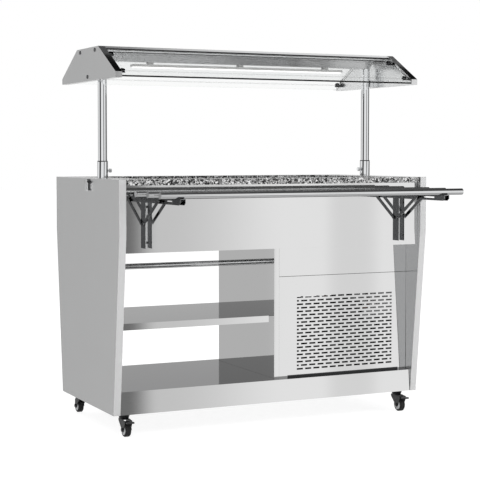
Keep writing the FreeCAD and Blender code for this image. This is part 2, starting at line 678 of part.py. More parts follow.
def fan():
    half = SHROUD_W / 2
    y0, y1 = SHROUD_Y, SHROUD_Y + SHROUD_DEEP
    shell = box(MACHINE_X - half, MACHINE_X + half, y0, y1, DECK_Z, FAN_Z + half)
    room = box(MACHINE_X - half + SHEET, MACHINE_X + half - SHEET, y0, y1 - SHEET, DECK_Z, FAN_Z + half - SHEET)
    shell = shell.cut(room)
    shell = shell.cut(cylinder(FAN_OPENING_R, V(MACHINE_X, y0, FAN_Z), Y_AXIS, SHROUD_DEEP))
    ring = tube(FAN_OPENING_R + SHEET, SHEET, V(MACHINE_X, y1 - 16, FAN_Z), Y_AXIS, 28)
    shell = shell.fuse(ring)
    bar_y = y1 + 12
    for angle in (0, 120, 240):
        spoke = box(-SPIDER_W / 2, SPIDER_W / 2, bar_y - 2, bar_y, MOTOR_R - 4, FAN_OPENING_R + SHEET)
        spoke.rotate(V(0, 0, 0), Y_AXIS, angle)
        spoke.translate(V(MACHINE_X, 0, FAN_Z))
        shell = shell.fuse(spoke)
    shell = shell.cut(cylinder(MOTOR_R, V(MACHINE_X, bar_y - 4, FAN_Z), Y_AXIS, 8))
    motor_y = y1 - 10
    motor = cylinder(MOTOR_R, V(MACHINE_X, motor_y, FAN_Z), Y_AXIS, MOTOR_L)
    motor = motor.fuse(cylinder(MOTOR_SHAFT_R, V(MACHINE_X, motor_y - 26, FAN_Z), Y_AXIS, 30))
    save("fan_shroud", shell.removeSplitter(), motor)

    hub_y = motor_y - GAP - FAN_HUB_L
    hub = cylinder(FAN_HUB_R, V(0, hub_y, 0), Y_AXIS, FAN_HUB_L)
    nose = [e for e in hub.Edges if e.Curve.TypeId == "Part::GeomCircle" and e.BoundBox.YMax < hub_y + 1]
    hub = hub.makeChamfer(FAN_NOSE, nose)
    blades = hub
    chord = FAN_R * 0.62
    for index in range(FAN_BLADES):
        root = blade_section(FAN_HUB_R - 3, chord * 0.55, FAN_PITCH + 8, hub_y + FAN_HUB_L / 2)
        tip = blade_section(FAN_R - 2, chord, FAN_PITCH - 8, hub_y + FAN_HUB_L / 2)
        blade = Part.makeLoft([root, tip], True, True)
        blade.rotate(V(0, 0, 0), Y_AXIS, index * 360.0 / FAN_BLADES)
        blades = blades.fuse(blade)
    bore = cylinder(MOTOR_SHAFT_R + AXLE_FIT, V(0, hub_y, 0), Y_AXIS, FAN_HUB_L)
    blades = blades.cut(bore).removeSplitter()
    blades.translate(V(MACHINE_X, 0, FAN_Z))
    save("fan_blade", blades)


def blade_section(radius, chord, pitch, y):
    """Thin slanted rectangle at one radius, the blade's section."""
    corners = [(-chord / 2, -BLADE_T / 2), (chord / 2, -BLADE_T / 2), (chord / 2, BLADE_T / 2),
               (-chord / 2, BLADE_T / 2)]
    c, s = math.cos(math.radians(pitch)), math.sin(math.radians(pitch))
    ring = [V(u * c - v * s, y + (u * s + v * c) * 0.5, radius) for u, v in corners]
    return Part.makePolygon(ring + ring[:1])


def compressor():
    z0 = COMP_Z
    r, h = COMP_R, COMP_H
    profile = [V(0, 0, 0), V(r * 0.62, 0, 0), V(r * 0.95, 0, h * 0.16), V(r, 0, h * 0.3), V(r, 0, h * 0.5),
               V(r + COMP_SEAM, 0, h * 0.5), V(r + COMP_SEAM, 0, h * 0.54), V(r, 0, h * 0.54),
               V(r * 0.97, 0, h * 0.78), V(r * 0.6, 0, h * 0.96), V(0, 0, h)]
    shell = Part.Face(Part.makePolygon(profile + profile[:1])).revolve(V(0, 0, 0), Z_AXIS, 360)
    shell.translate(V(COMP_X, COMP_Y, z0))
    stub = cylinder(SUCTION_R + SHEET, V(COMP_X - COMP_STUB_OFFSET, COMP_Y, z0 + h * 0.8), Z_AXIS, h * 0.2)
    terminal = box(COMP_X - r - 22, COMP_X - r + 12, COMP_Y - 28, COMP_Y + 28, z0 + h * 0.3, z0 + h * 0.72)
    body = shell.fuse(stub).fuse(terminal)
    for sx in (-1, 1):
        for sy in (-1, 1):
            foot = cylinder(14, V(COMP_X + sx * (r - 8), COMP_Y + sy * (r - 8), DECK_Z + BASE_PLATE_T),
                            Z_AXIS, COMP_FEET + 3)
            body = body.fuse(foot)
    cross = box(COMP_X - r + 4, COMP_X + r - 4, COMP_Y - r + 4, COMP_Y + r - 4, z0, z0 + 3)
    body = body.fuse(cross).removeSplitter()
    plate = box(2 * COMP_X - INNER_X + GAP, INNER_X - GAP, COMP_Y - r - 14, COMP_Y + r + 14,
                DECK_Z, DECK_Z + BASE_PLATE_T)
    save("compressor", body, plate)


def controls():
    y = INNER_Y
    x0, x1 = CONTROL_X - CONTROL_W / 2, CONTROL_X + CONTROL_W / 2
    z0, z1 = CONTROL_Z - CONTROL_H / 2, CONTROL_Z + CONTROL_H / 2
    plate = box(x0, x1, y, y + CONTROL_T, z0, z1)
    corner = [e for e in plate.Edges if abs(e.tangentAt(e.FirstParameter).y) > 0.99]
    plate = plate.makeFillet(5, corner)
    housing = box(x0 + 8, x1 - 8, y - CONTROL_BOX_DEEP, y, z0 + 8, z1 - 8)
    body = plate.fuse(housing)
    knob_x = CONTROL_X - 55
    dial = cylinder(KNOB_R + 6, V(knob_x, y + CONTROL_T, CONTROL_Z), Y_AXIS, 1)
    spindle = cylinder(SPINDLE_R, V(knob_x, y + CONTROL_T, CONTROL_Z), Y_AXIS, 1 + KNOB_H / 2)
    body = body.fuse(dial).fuse(spindle)
    rocker_xs = {"power_switch": CONTROL_X + 10, "light_switch": CONTROL_X + 52}
    for x in rocker_xs.values():
        frame = box(x - ROCKER_W / 2 - 4, x + ROCKER_W / 2 + 4, y, y + CONTROL_T + 2,
                    CONTROL_Z - ROCKER_H / 2 - 4, CONTROL_Z + ROCKER_H / 2 + 4)
        pocket = box(x - ROCKER_W / 2 - GAP, x + ROCKER_W / 2 + GAP, y - 9, y + CONTROL_T + 2,
                     CONTROL_Z - ROCKER_H / 2 - 1, CONTROL_Z + ROCKER_H / 2 + 1)
        body = body.fuse(frame).cut(pocket)
    inlet_face = box(CONTROL_X - INLET_W / 2, CONTROL_X + INLET_W / 2, y, y + 3,
                     INLET_Z - INLET_H / 2, INLET_Z + INLET_H / 2)
    inlet_body = box(CONTROL_X - INLET_W / 2 + 4, CONTROL_X + INLET_W / 2 - 4, y - 24, y,
                     INLET_Z - INLET_H / 2 + 3, INLET_Z + INLET_H / 2 - 3)
    well_cut = box(CONTROL_X - 12, CONTROL_X + 12, y - 16, y + 3, INLET_Z - 8, INLET_Z + 8)
    inlet = inlet_face.fuse(inlet_body).cut(well_cut)
    for dx in (-6, 0, 6):
        inlet = inlet.fuse(box(CONTROL_X + dx - 1, CONTROL_X + dx + 1, y - 16, y - 3, INLET_Z - 2, INLET_Z + 2))
    save("control_plate", body.removeSplitter(), inlet)

    knob = cylinder(KNOB_R, V(0, 0, 0), Y_AXIS, KNOB_H)
    rim = [e for e in knob.Edges if e.Curve.TypeId == "Part::GeomCircle" and e.BoundBox.YMin > 1]
    knob = knob.makeChamfer(KNOB_BEVEL, rim)
    bore = cylinder(SPINDLE_R + AXLE_FIT, V(0, 0, 0), Y_AXIS, KNOB_H / 2)
    sides = [box(side * KNOB_GRIP - (KNOB_R if side < 0 else 0), side * KNOB_GRIP + (KNOB_R if side > 0 else 0),
                 KNOB_H / 3, KNOB_H, -KNOB_R, KNOB_R) for side in (-1, 1)]
    knob = knob.cut(sides[0]).cut(sides[1]).cut(bore)
    knob.translate(V(knob_x, y + CONTROL_T + 1 + GAP, CONTROL_Z))
    save("thermostat_knob", knob)

    for name, x in rocker_xs.items():
        arc_points = [(-ROCKER_H / 2, 3.0), (0, 1.0), (ROCKER_H / 2, 3.0)]
        face = [(y + CONTROL_T + d, CONTROL_Z + z) for z, d in arc_points]
        back = [(y - 4, CONTROL_Z + ROCKER_H / 4), (y - 4, CONTROL_Z - ROCKER_H / 4)]
        rocker = yz_prism(face + back, x - ROCKER_W / 2, x + ROCKER_W / 2)
        hub = cylinder(ROCKER_HUB_R, V(x - ROCKER_W / 2, y - 4, CONTROL_Z), X_AXIS, ROCKER_W)
        rocker = rocker.fuse(hub).removeSplitter()
        rocker.rotate(V(x, y - 4, CONTROL_Z), X_AXIS, -ROCKER_TILT / 2)
        save(name, rocker)


def drain():
    top = WELL_FLOOR_Z - WELL_SHEET
    pipe = tube(DRAIN_R, DRAIN_WALL, V(DRAIN_X, 0, DRAIN_END_Z), Z_AXIS, top - DRAIN_END_Z)
    valve = tube(VALVE_R, VALVE_R - DRAIN_R + DRAIN_WALL, V(DRAIN_X, 0, DRAIN_VALVE_Z - VALVE_H / 2), Z_AXIS,
                 VALVE_H)
    stem = cylinder(5, V(DRAIN_X, -DRAIN_R, DRAIN_VALVE_Z), V(0, -1, 0), VALVE_R - DRAIN_R + 8)
    flange = tube(DRAIN_R + 8, 10, V(DRAIN_X, 0, top - 1.5), Z_AXIS, 1.5)
    save("drain_pipe", pipe.fuse(valve).fuse(stem).fuse(flange).removeSplitter())
    y = -VALVE_R - 8
    hub = cylinder(8, V(DRAIN_X, y - GAP, DRAIN_VALVE_Z), V(0, -1, 0), 4)
    blade = box(DRAIN_X - 5, DRAIN_X + 5, y - GAP - 4, y - GAP, DRAIN_VALVE_Z - LEVER_L, DRAIN_VALVE_Z)
    tip = cylinder(5, V(DRAIN_X, y - GAP, DRAIN_VALVE_Z - LEVER_L), V(0, -1, 0), 4)
    save("drain_lever", hub.fuse(blade).fuse(tip).removeSplitter())


# ---- hood -------------------------------------------------------------------------------------
def post_sockets():
    solids = []
    for side in (-1, 1):
        foot = V(side * POST_X, 0, TOP_Z)
        socket = cylinder(SOCKET_R, foot, Z_AXIS, SOCKET_H)
        top_edge = [e for e in socket.Edges if e.BoundBox.ZMin > TOP_Z + SOCKET_H - 0.1]
        socket = socket.makeChamfer(0.8, top_edge)
        socket = socket.cut(cylinder(POST_R + BORE_FIT, foot + V(0, 0, SOCKET_FLOOR), Z_AXIS, SOCKET_H))
        hole = cylinder(SCREW_STEM_R + PIN_FIT, foot + V(0, 0, SCREW_Z), V(-side, 0, 0), SOCKET_R + 1)
        stud = cylinder(SOCKET_STUD_R, foot, V(0, 0, -1), SOCKET_STUD_L)
        nut = hexagon(SOCKET_NUT_R, foot.x, STONE_Z - SOCKET_NUT_H, SOCKET_NUT_H)
        solids.append(socket.cut(hole).fuse(stud).fuse(nut).removeSplitter())
    save("post_sockets", *solids)


def hexagon(radius, x, z, height):
    ring = [V(x + radius * math.cos(math.radians(60 * k)), radius * math.sin(math.radians(60 * k)), z)
            for k in range(6)]
    return Part.Face(Part.makePolygon(ring + ring[:1])).extrude(V(0, 0, height))


def thumb_screws():
    for side, name in ((-1, "thumb_screw_left"), (1, "thumb_screw_right")):
        inward = V(-side, 0, 0)
        z = TOP_Z + SCREW_Z
        start = POST_R + GAP
        stem = cylinder(SCREW_STEM_R, V(side * POST_X, 0, z) + inward * start, inward,
                        SOCKET_R + SCREW_STAND - start + 1)
        base = V(side * POST_X, 0, z) + inward * (SOCKET_R + SCREW_STAND)
        head = cylinder(SCREW_HEAD_R, base, inward, SCREW_HEAD_H)
        grips = []
        for k in range(SCREW_GRIPS):
            a = math.radians(k * 360.0 / SCREW_GRIPS)
            centre = base + V(0, math.cos(a), math.sin(a)) * (SCREW_HEAD_R + 0.6)
            grips.append(cylinder(1.2, centre, inward, SCREW_HEAD_H))
        save(name, stem.fuse(head.cut(Part.makeCompound(grips))))


def posts():
    solids = []
    foot_z = TOP_Z + SOCKET_FLOOR
    for side in (-1, 1):
        post = tube(POST_R, POST_WALL, V(side * POST_X, 0, foot_z), Z_AXIS, LAMP_HOUSING_Z - foot_z)
        inner = POST_X + POST_R - 1
        lug = box(inner, HOOD_INNER_X, -LUG_H / 2, LUG_H / 2, LUG_Z - LUG_H / 2, LUG_Z + LUG_H / 2)
        lug = lug if side > 0 else mirrored_x(lug)
        bore = cylinder(POST_R - POST_WALL / 2, V(side * POST_X, 0, foot_z), Z_AXIS, LAMP_HOUSING_Z - foot_z)
        solids.append(post.fuse(lug.cut(bore)).removeSplitter())
    save("hood_posts", *solids)


def hood_ends():
    top, foot = HOOD_HALF_TOP, HOOD_HALF_FOOT
    outline = [(-foot, HOOD_BOTTOM_Z), (foot, HOOD_BOTTOM_Z), (foot, HOOD_HEM_Z), (top, HOOD_TOP_Z),
               (-top, HOOD_TOP_Z), (-foot, HOOD_HEM_Z)]
    save("hood_end_left", *pan_and_liner(outline, -HOOD_X, -HOOD_INNER_X))
    save("hood_end_right", *pan_and_liner(outline, HOOD_X, HOOD_INNER_X))


def hood_cap():
    edge, low = HOOD_HALF_TOP, HOOD_TOP_Z - CAP_LIP
    inner = edge - CAP_STEP
    line = [(-inner, low - CAP_TAIL), (-inner, low), (-edge, low), (-edge, HOOD_TOP_Z)]
    line += [(-y, z) for y, z in reversed(line)]
    save("hood_cap", folded(line[::-1], SHEET, -HOOD_INNER_X, HOOD_INNER_X))


def glass_line():
    """Outer face of the front pane in (y, z): upper and lower edge."""
    point = V(0, -HOOD_HALF_TOP, HOOD_TOP_Z) + SLOPE_IN * GLASS_INSET
    down = (point.z - GLASS_FOOT_Z) / -SLOPE_DIR.z
    foot = point + SLOPE_DIR * down
    up = (HOOD_TOP_Z - CAP_LIP - GAP - foot.z) / -SLOPE_DIR.z
    return foot - SLOPE_DIR * up, foot


def glass():
    top, foot = glass_line()
    deep = SLOPE_IN * GLASS_T
    ring = [top, foot, foot + deep, top + deep]
    x = HOOD_INNER_X - GLASS_END_GAP
    pane = yz_prism([(p.y, p.z) for p in ring], -x, x)
    clamps = []
    for side in (-1, 1):
        for centre in (top + SLOPE_DIR * CLAMP_FROM_EDGE, foot - SLOPE_DIR * CLAMP_FROM_EDGE):
            at = centre + V(side * (HOOD_INNER_X - CLAMP_FROM_END), 0, 0)
            pane = pane.cut(cylinder(CLAMP_PIN_R + PIN_FIT, at - SLOPE_IN, SLOPE_IN, GLASS_T + 2))
            button = cylinder(CLAMP_R, at, SLOPE_IN * -1, CLAMP_H)
            pin = cylinder(CLAMP_PIN_R, at - SLOPE_IN, SLOPE_IN, GLASS_T + 3)
            tab = Part.makeBox(CLAMP_FROM_END + CLAMP_R, 2 * CLAMP_R, 3)
            tab.translate(V(-CLAMP_R, -CLAMP_R, 0))
            tab.rotate(V(0, 0, 0), X_AXIS, math.degrees(math.atan2(SLOPE_DIR.z, SLOPE_DIR.y)) + 180)
            tab = tab if tab_is_inside(tab) else flipped(tab)
            tab.translate(centre + SLOPE_IN * GLASS_T)
            tab.translate(V(HOOD_INNER_X - CLAMP_FROM_END, 0, 0))
            tab = tab if side > 0 else mirrored_x(tab)
            clamps.append(button.fuse(pin).fuse(tab).removeSplitter())
    save("hood_glass_front", pane)
    save("hood_glass_rear", mirrored_y(pane))
    save("glass_clamps", *(clamps + [mirrored_y(c) for c in clamps]))


def tab_is_inside(tab):
    """Whether the tab lies on the inner side of the pane's plane."""
    return V(tab.CenterOfMass).dot(SLOPE_IN) > 0


def flipped(tab):
    copy = tab.copy()
    copy.rotate(V(0, 0, 0), X_AXIS, 180)
    return copy


def lamp():
    knee, foot = LAMP_HOUSING_TOP / 2, LAMP_HOUSING_FOOT / 2
    top = HOOD_TOP_Z - SHEET
    line = [(-knee, top), (-knee, LAMP_HOUSING_KNEE_Z), (-foot, LAMP_HOUSING_Z)]
    line += [(-y, z) for y, z in reversed(line)]
    half = LAMP_HOUSING_L / 2
    housing = folded(line, SHEET, -half, half)
    ends = [yz_prism(line, side * half - (SHEET if side > 0 else 0), side * half + (0 if side > 0 else SHEET))
            for side in (-1, 1)]
    save("lamp_housing", housing.fuse(ends[0]).fuse(ends[1]).removeSplitter())

    z1 = LAMP_HOUSING_Z - LAMP_DROP
    z0 = z1 - LAMP_H
    bar = box(-LAMP_L / 2, LAMP_L / 2, -LAMP_W / 2, LAMP_W / 2, z0, z1)
    groove = box(-LAMP_L / 2 + 4, LAMP_L / 2 - 4, -DIFFUSER_W / 2, DIFFUSER_W / 2, z0, z0 + 3)
    bar = bar.cut(groove)
    for k in range(LAMP_CLIPS):
        x = (k - (LAMP_CLIPS - 1) / 2) * LAMP_L * 0.42
        bar = bar.fuse(box(x - 10, x + 10, -10, 10, z1, LAMP_HOUSING_Z))
    save("lamp_bar", bar.removeSplitter())
    diffuser = box(-LAMP_L / 2 + 4, LAMP_L / 2 - 4, -DIFFUSER_W / 2, DIFFUSER_W / 2, z0 + 3 - DIFFUSER_H, z0 + 3)
    low = [e for e in diffuser.Edges
           if abs(e.tangentAt(e.FirstParameter).x) > 0.99 and e.BoundBox.ZMax < z0 + 1]
    save("lamp_diffuser", diffuser.makeChamfer(2, low))


# ---- tray slides ------------------------------------------------------------------------------
def channel_u(width, deep, thickness, z0, z1, y_web):
    """Upright channel open to the front, its web's back at y_web."""
    outer = box(-width / 2, width / 2, y_web - deep, y_web, z0, z1)
    inner = box(-width / 2 + thickness, width / 2 - thickness, y_web - deep, y_web - thickness, z0, z1)
    return outer.cut(inner)


def bracket_leg():
    """Leg at x = 0 on the front apron, with the arm's pin through it and the braces' stub pins outside."""
    low = LEG_TOP_Z - LEG_H
    leg = channel_u(LEG_W, LEG_DEEP, LEG_T, low, LEG_TOP_Z, -APRON_Y)
    for z in (low + LEG_HOLE_FROM_END, LEG_TOP_Z - 2 * LEG_HOLE_FROM_END):
        leg = leg.cut(cylinder(LEG_HOLE_R, V(0, -APRON_Y - LEG_T, z), Y_AXIS, LEG_T))
    half = LEG_W / 2
    arm_pin = cylinder(PIVOT_PIN_R, V(-half - PIN_HEAD_H, -PIVOT_Y, ARM_PIVOT_Z), X_AXIS, LEG_W + 2 * PIN_HEAD_H)
    reach = half + BRACE_GAP + BRACE_T + PIN_FIT
    leg = leg.fuse(arm_pin)
    for side in (-1, 1):
        stub = cylinder(BRACE_PIN_R, V(side * (half - LEG_T), -PIVOT_Y, BRACE_PIVOT_Z), V(side, 0, 0),
                        reach - half + LEG_T)
        leg = leg.fuse(stub)
        head = cylinder(BRACE_PIN_R + 2, V(side * reach, -PIVOT_Y, BRACE_PIVOT_Z), V(side, 0, 0), PIN_HEAD_H)
        leg = leg.fuse(head)
    return leg.removeSplitter()


def tray_arm():
    """Arm at x = 0: channel open downward, rounded about its pivot, slotted for the brace."""
    half_w, half_h = ARM_W / 2, ARM_H / 2
    tip = -PIVOT_Y - ARM_L
    outer = box(-half_w, half_w, tip, -PIVOT_Y, ARM_PIVOT_Z - half_h, ARM_PIVOT_Z + half_h)
    outer = outer.fuse(cylinder(half_h, V(-half_w, -PIVOT_Y, ARM_PIVOT_Z), X_AXIS, ARM_W))
    inner = box(-half_w + ARM_T, half_w - ARM_T, tip, -PIVOT_Y + half_h, ARM_PIVOT_Z - half_h,
                ARM_PIVOT_Z + half_h - ARM_T)
    arm = outer.cut(inner)
    arm = arm.cut(box(-half_w + ARM_T, half_w - ARM_T, -PIVOT_Y - 2, -PIVOT_Y + half_h, ARM_PIVOT_Z - half_h,
                      ARM_PIVOT_Z + half_h))
    pivot = V(-half_w, -PIVOT_Y, ARM_PIVOT_Z)
    arm = arm.cut(cylinder(PIVOT_PIN_R + PIN_FIT, pivot, X_AXIS, ARM_W))
    near = BRACE_REACH - BRACE_PIN_R
    far = BRACE_DROP + BRACE_L + BRACE_PIN_R
    slot = box(-half_w, half_w, -PIVOT_Y - far, -PIVOT_Y - near, ARM_PIVOT_Z - BRACE_PIN_R,
               ARM_PIVOT_Z + BRACE_PIN_R)
    arm = arm.cut(slot)
    nose_cut = yz_prism([(tip, ARM_PIVOT_Z - half_h), (tip + half_h, ARM_PIVOT_Z - half_h),
                         (tip, ARM_PIVOT_Z - half_h / 4)], -half_w, half_w)
    return arm.cut(nose_cut).removeSplitter()


def tray_rails():
    """Three tubes on the arms' backs, with a plug in each end."""
    solids = []
    half = RAIL_L / 2
    for k in range(RAIL_COUNT):
        y = -PIVOT_Y - RAIL_FIRST - k * RAIL_PITCH
        solids.append(tube(RAIL_R, RAIL_WALL, V(-half, y, RAIL_Z), X_AXIS, RAIL_L))
        for side in (-1, 1):
            plug = cylinder(RAIL_R - RAIL_WALL, V(side * half, y, RAIL_Z), V(-side, 0, 0), PLUG_L)
            cap = cylinder(RAIL_R, V(side * half, y, RAIL_Z), V(side, 0, 0), PLUG_CAP)
            solids.append(plug.fuse(cap).removeSplitter())
    return solids


def brace():
    """Pair of flat bars at x = 0, raised: holes on the leg's pin, studs towards the arm."""
    inner = LEG_W / 2 + BRACE_GAP
    bars = []
    for side in (-1, 1):
        bar = box(inner, inner + BRACE_T, -BRACE_L, 0, -BRACE_W / 2, BRACE_W / 2)
        for y in (0, -BRACE_L):
            bar = bar.fuse(cylinder(BRACE_W / 2, V(inner, y, 0), X_AXIS, BRACE_T))
        bar = bar.cut(cylinder(BRACE_PIN_R + PIN_FIT, V(inner, 0, 0), X_AXIS, BRACE_T))
        stud = cylinder(BRACE_PIN_R, V(ARM_W / 2 + GAP, -BRACE_L, 0), X_AXIS, inner - ARM_W / 2 - GAP + BRACE_T + 1)
        bar = bar.fuse(stud).removeSplitter()
        bars.append(bar if side > 0 else mirrored_x(bar))
    pair = Part.makeCompound(bars)
    pair.rotate(V(0, 0, 0), X_AXIS, -BRACE_ANGLE)
    pair.translate(V(0, -PIVOT_Y, BRACE_PIVOT_Z))
    return pair


def at_x(shape, x):
    copy = shape.copy()
    copy.translate(V(x, 0, 0))
    return copy


def lowered(shape, z, angle):
    """Turned down about the pivot line at height z."""
    copy = shape.copy()
    copy.rotate(V(0, -PIVOT_Y, z), X_AXIS, angle)
    return copy


def tray_slides():
    leg, arm, stay = bracket_leg(), tray_arm(), brace()
    xs = (-BRACKET_X, BRACKET_X)
    legs = [at_x(leg, x) for x in xs]
    save("bracket_legs", *(legs + [turned_half(piece) for piece in legs]))
    save("front_arms", *[at_x(arm, x) for x in xs])
    save("front_rails", *tray_rails())
    save("front_brace_left", at_x(stay, -BRACKET_X))
    save("front_brace_right", at_x(stay, BRACKET_X))

    folded_arm = lowered(arm, ARM_PIVOT_Z, 90)
    folded_stay = lowered(stay, BRACE_PIVOT_Z, BRACE_SWEEP)
    save("rear_arms", *[turned_half(at_x(folded_arm, x)) for x in xs])
    save("rear_rails", *[turned_half(lowered(s, ARM_PIVOT_Z, 90)) for s in tray_rails()])
    save("rear_brace_left", turned_half(at_x(folded_stay, BRACKET_X)))
    save("rear_brace_right", turned_half(at_x(folded_stay, -BRACKET_X)))


# ---- latch --------------------------------------------------------------------------------------
def latch():
    """Draw latch that couples the bar to a neighbour, on the left end panel."""
    x = -HALF_L
    z1 = TOP_Z - LATCH_TOP_GAP
    z0 = z1 - LATCH_H
    y0, y1 = LATCH_Y - LATCH_W / 2, LATCH_Y + LATCH_W / 2
    pin_x = x - LATCH_PIN_OUT
    pin_z = z1 - LATCH_PIN_DROP
    plate = box(x - LATCH_PLATE_T, x, y0, y1, z0, z1)
    for y in (y0, y1 - LATCH_PLATE_T):
        ear = box(pin_x, x, y, y + LATCH_PLATE_T, pin_z - LATCH_HUB_R, pin_z + LATCH_HUB_R)
        tip = cylinder(LATCH_HUB_R, V(pin_x, y, pin_z), Y_AXIS, LATCH_PLATE_T)
        plate = plate.fuse(ear).fuse(tip)
    plate = plate.fuse(cylinder(LATCH_PIN_R, V(pin_x, y0, pin_z), Y_AXIS, LATCH_W))
    save("latch_base", plate.removeSplitter())

    inner0, inner1 = y0 + LATCH_PLATE_T + GAP, y1 - LATCH_PLATE_T - GAP
    front = pin_x - LATCH_HUB_R
    hub = cylinder(LATCH_HUB_R, V(pin_x, inner0, pin_z), Y_AXIS, inner1 - inner0)
    lever = box(front, front + LATCH_LEVER_T, inner0, inner1, z0, pin_z)
    lip = box(front - LATCH_LIP, front + LATCH_LEVER_T, inner0, inner1, z0 - LATCH_LEVER_T, z0)
    wall = (inner1 - inner0) / 5
    window = box(front, front + LATCH_LEVER_T, inner0 + wall, inner1 - wall, z0 + wall, pin_z - LATCH_HUB_R - wall)
    bore = cylinder(LATCH_PIN_R + PIN_FIT, V(pin_x, inner0, pin_z), Y_AXIS, inner1 - inner0)
    save("latch_lever", hub.fuse(lever).fuse(lip).cut(window).cut(bore).removeSplitter())


# ---- castors ------------------------------------------------------------------------------------
def castor_plate(x, y):
    """Top plate, ball race and riveted kingpin, welded as one."""
    top = FOOT_Z
    half = CASTOR_PLATE / 2
    plate = box(x - half, x + half, y - half, y + half, top - CASTOR_PLATE_T, top)
    corner = [e for e in plate.Edges if abs(e.tangentAt(e.FirstParameter).z) > 0.99]
    plate = plate.makeFillet(6, corner)
    race = cylinder(RACE_R, V(x, y, top - CASTOR_PLATE_T), V(0, 0, -1), RACE_H)
    web_z = swivel_top() - SWIVEL_H - FORK_WEB_T
    pin = cylinder(KINGPIN_R, V(x, y, top - CASTOR_PLATE_T), V(0, 0, -1), top - CASTOR_PLATE_T - web_z + GAP)
    rivet = cylinder(KINGPIN_R + 3, V(x, y, web_z - GAP), V(0, 0, -1), 2.5)
    return plate.fuse(race).fuse(pin).fuse(rivet).removeSplitter()


def swivel_top():
    return FOOT_Z - CASTOR_PLATE_T - RACE_H - GAP


def castor_fork(with_pedal):
    """Fork with its kingpin at the origin, trailing towards -Y, and its axle bolt."""
    top = swivel_top()
    web_top = top - SWIVEL_H
    head = Part.makeCone(SWIVEL_R - 4, SWIVEL_R, SWIVEL_H, V(0, 0, web_top))
    outer = FORK_GAP / 2 + FORK_T
    web = box(-outer, outer, -FORK_HALF, FORK_HALF, web_top - FORK_WEB_T, web_top)
    fork = head.fuse(web)
    low = AXLE_Z
    slope = [(-FORK_HALF, web_top), (FORK_HALF, web_top), (FORK_HALF, web_top - 8),
             (-CASTOR_TRAIL + AXLE_BOSS_R, low), (-CASTOR_TRAIL - AXLE_BOSS_R, low),
             (-CASTOR_TRAIL - AXLE_BOSS_R, web_top - 14)]
    if with_pedal:
        back = -CASTOR_TRAIL - PEDAL_PIVOT_BACK
        slope = slope[:5] + [(back - 5, PEDAL_PIVOT_Z - 5), (back - 5, PEDAL_PIVOT_Z + 4)]
    for x in (-outer, FORK_GAP / 2):
        leg = yz_prism(slope, x, x + FORK_T)
        boss = cylinder(AXLE_BOSS_R, V(x, -CASTOR_TRAIL, AXLE_Z), X_AXIS, FORK_T)
        fork = fork.fuse(leg).fuse(boss)
    fork = fork.cut(cylinder(KINGPIN_R + PIN_FIT, V(0, 0, web_top - FORK_WEB_T), Z_AXIS, SWIVEL_H + FORK_WEB_T))
    axle = cylinder(AXLE_R, V(-outer, -CASTOR_TRAIL, AXLE_Z), X_AXIS, 2 * outer)
    fork = fork.fuse(axle)
    for side in (-1, 1):
        nut = cylinder(NUT_R, V(side * outer, -CASTOR_TRAIL, AXLE_Z), V(side, 0, 0), NUT_H)
        fork = fork.fuse(nut)
    if with_pedal:
        back = -CASTOR_TRAIL - PEDAL_PIVOT_BACK
        fork = fork.fuse(cylinder(PEDAL_PIN_R, V(-outer, back, PEDAL_PIVOT_Z), X_AXIS, 2 * outer))
    return fork.removeSplitter()


def castor_wheel():
    """Tyre and hub, with the kingpin at the origin."""
    half = WHEEL_W / 2
    centre = V(-half, -CASTOR_TRAIL, AXLE_Z)
    tyre = cylinder(WHEEL_R, centre, X_AXIS, WHEEL_W)
    tyre = tyre.makeChamfer(TYRE_BEVEL, [e for e in tyre.Edges if e.Curve.TypeId == "Part::GeomCircle"])
    core_r = WHEEL_R - TYRE_T
    tyre = tyre.cut(cylinder(core_r, centre, X_AXIS, WHEEL_W))
    hub = cylinder(core_r, centre, X_AXIS, WHEEL_W)
    for side in (-1, 1):
        face = V(side * half, -CASTOR_TRAIL, AXLE_Z)
        dish = cylinder(core_r - 2.5, face, V(-side, 0, 0), HUB_RECESS)
        dish = dish.cut(cylinder(HUB_BOSS_R, face, V(-side, 0, 0), HUB_RECESS))
        hub = hub.cut(dish)
    hub = hub.cut(cylinder(AXLE_R + AXLE_FIT, centre, X_AXIS, WHEEL_W))
    return tyre, hub


def castor_pedal():
    """Brake pedal on the fork's rear pin, raised."""
    back = -CASTOR_TRAIL - PEDAL_PIVOT_BACK
    half = PEDAL_W / 2
    hub = cylinder(4, V(-half, back, PEDAL_PIVOT_Z), X_AXIS, PEDAL_W)
    tread = box(-half, half, back - PEDAL_L, back, PEDAL_PIVOT_Z - PEDAL_T / 2 + 1, PEDAL_PIVOT_Z + PEDAL_T / 2 + 1)
    toe = box(-half - 3, half + 3, back - PEDAL_L, back - PEDAL_L + 12, PEDAL_PIVOT_Z - PEDAL_T / 2 - 1,
              PEDAL_PIVOT_Z + PEDAL_T / 2 + 1)
    pedal = hub.fuse(tread).fuse(toe)
    pedal = pedal.cut(cylinder(PEDAL_PIN_R + PIN_FIT, V(-half, back, PEDAL_PIVOT_Z), X_AXIS, PEDAL_W))
    return pedal.removeSplitter()


def castors():
    places = {"front_left": (-1, -1), "front_right": (1, -1), "rear_left": (-1, 1), "rear_right": (1, 1)}
    tyre, hub = castor_wheel()
    for name, (sx, sy) in places.items():
        braked = sy < 0
        spot = V(sx * CASTOR_X, sy * CASTOR_Y, 0)

        def placed(shape):
            copy = shape.copy() if braked else turned_half(shape)
            copy.translate(spot)
            return copy

        save("castor_fork_" + name, placed(castor_fork(braked)))
        save("castor_wheel_" + name, placed(tyre), placed(hub))
        if braked:
            save("castor_brake_" + name, placed(castor_pedal()))


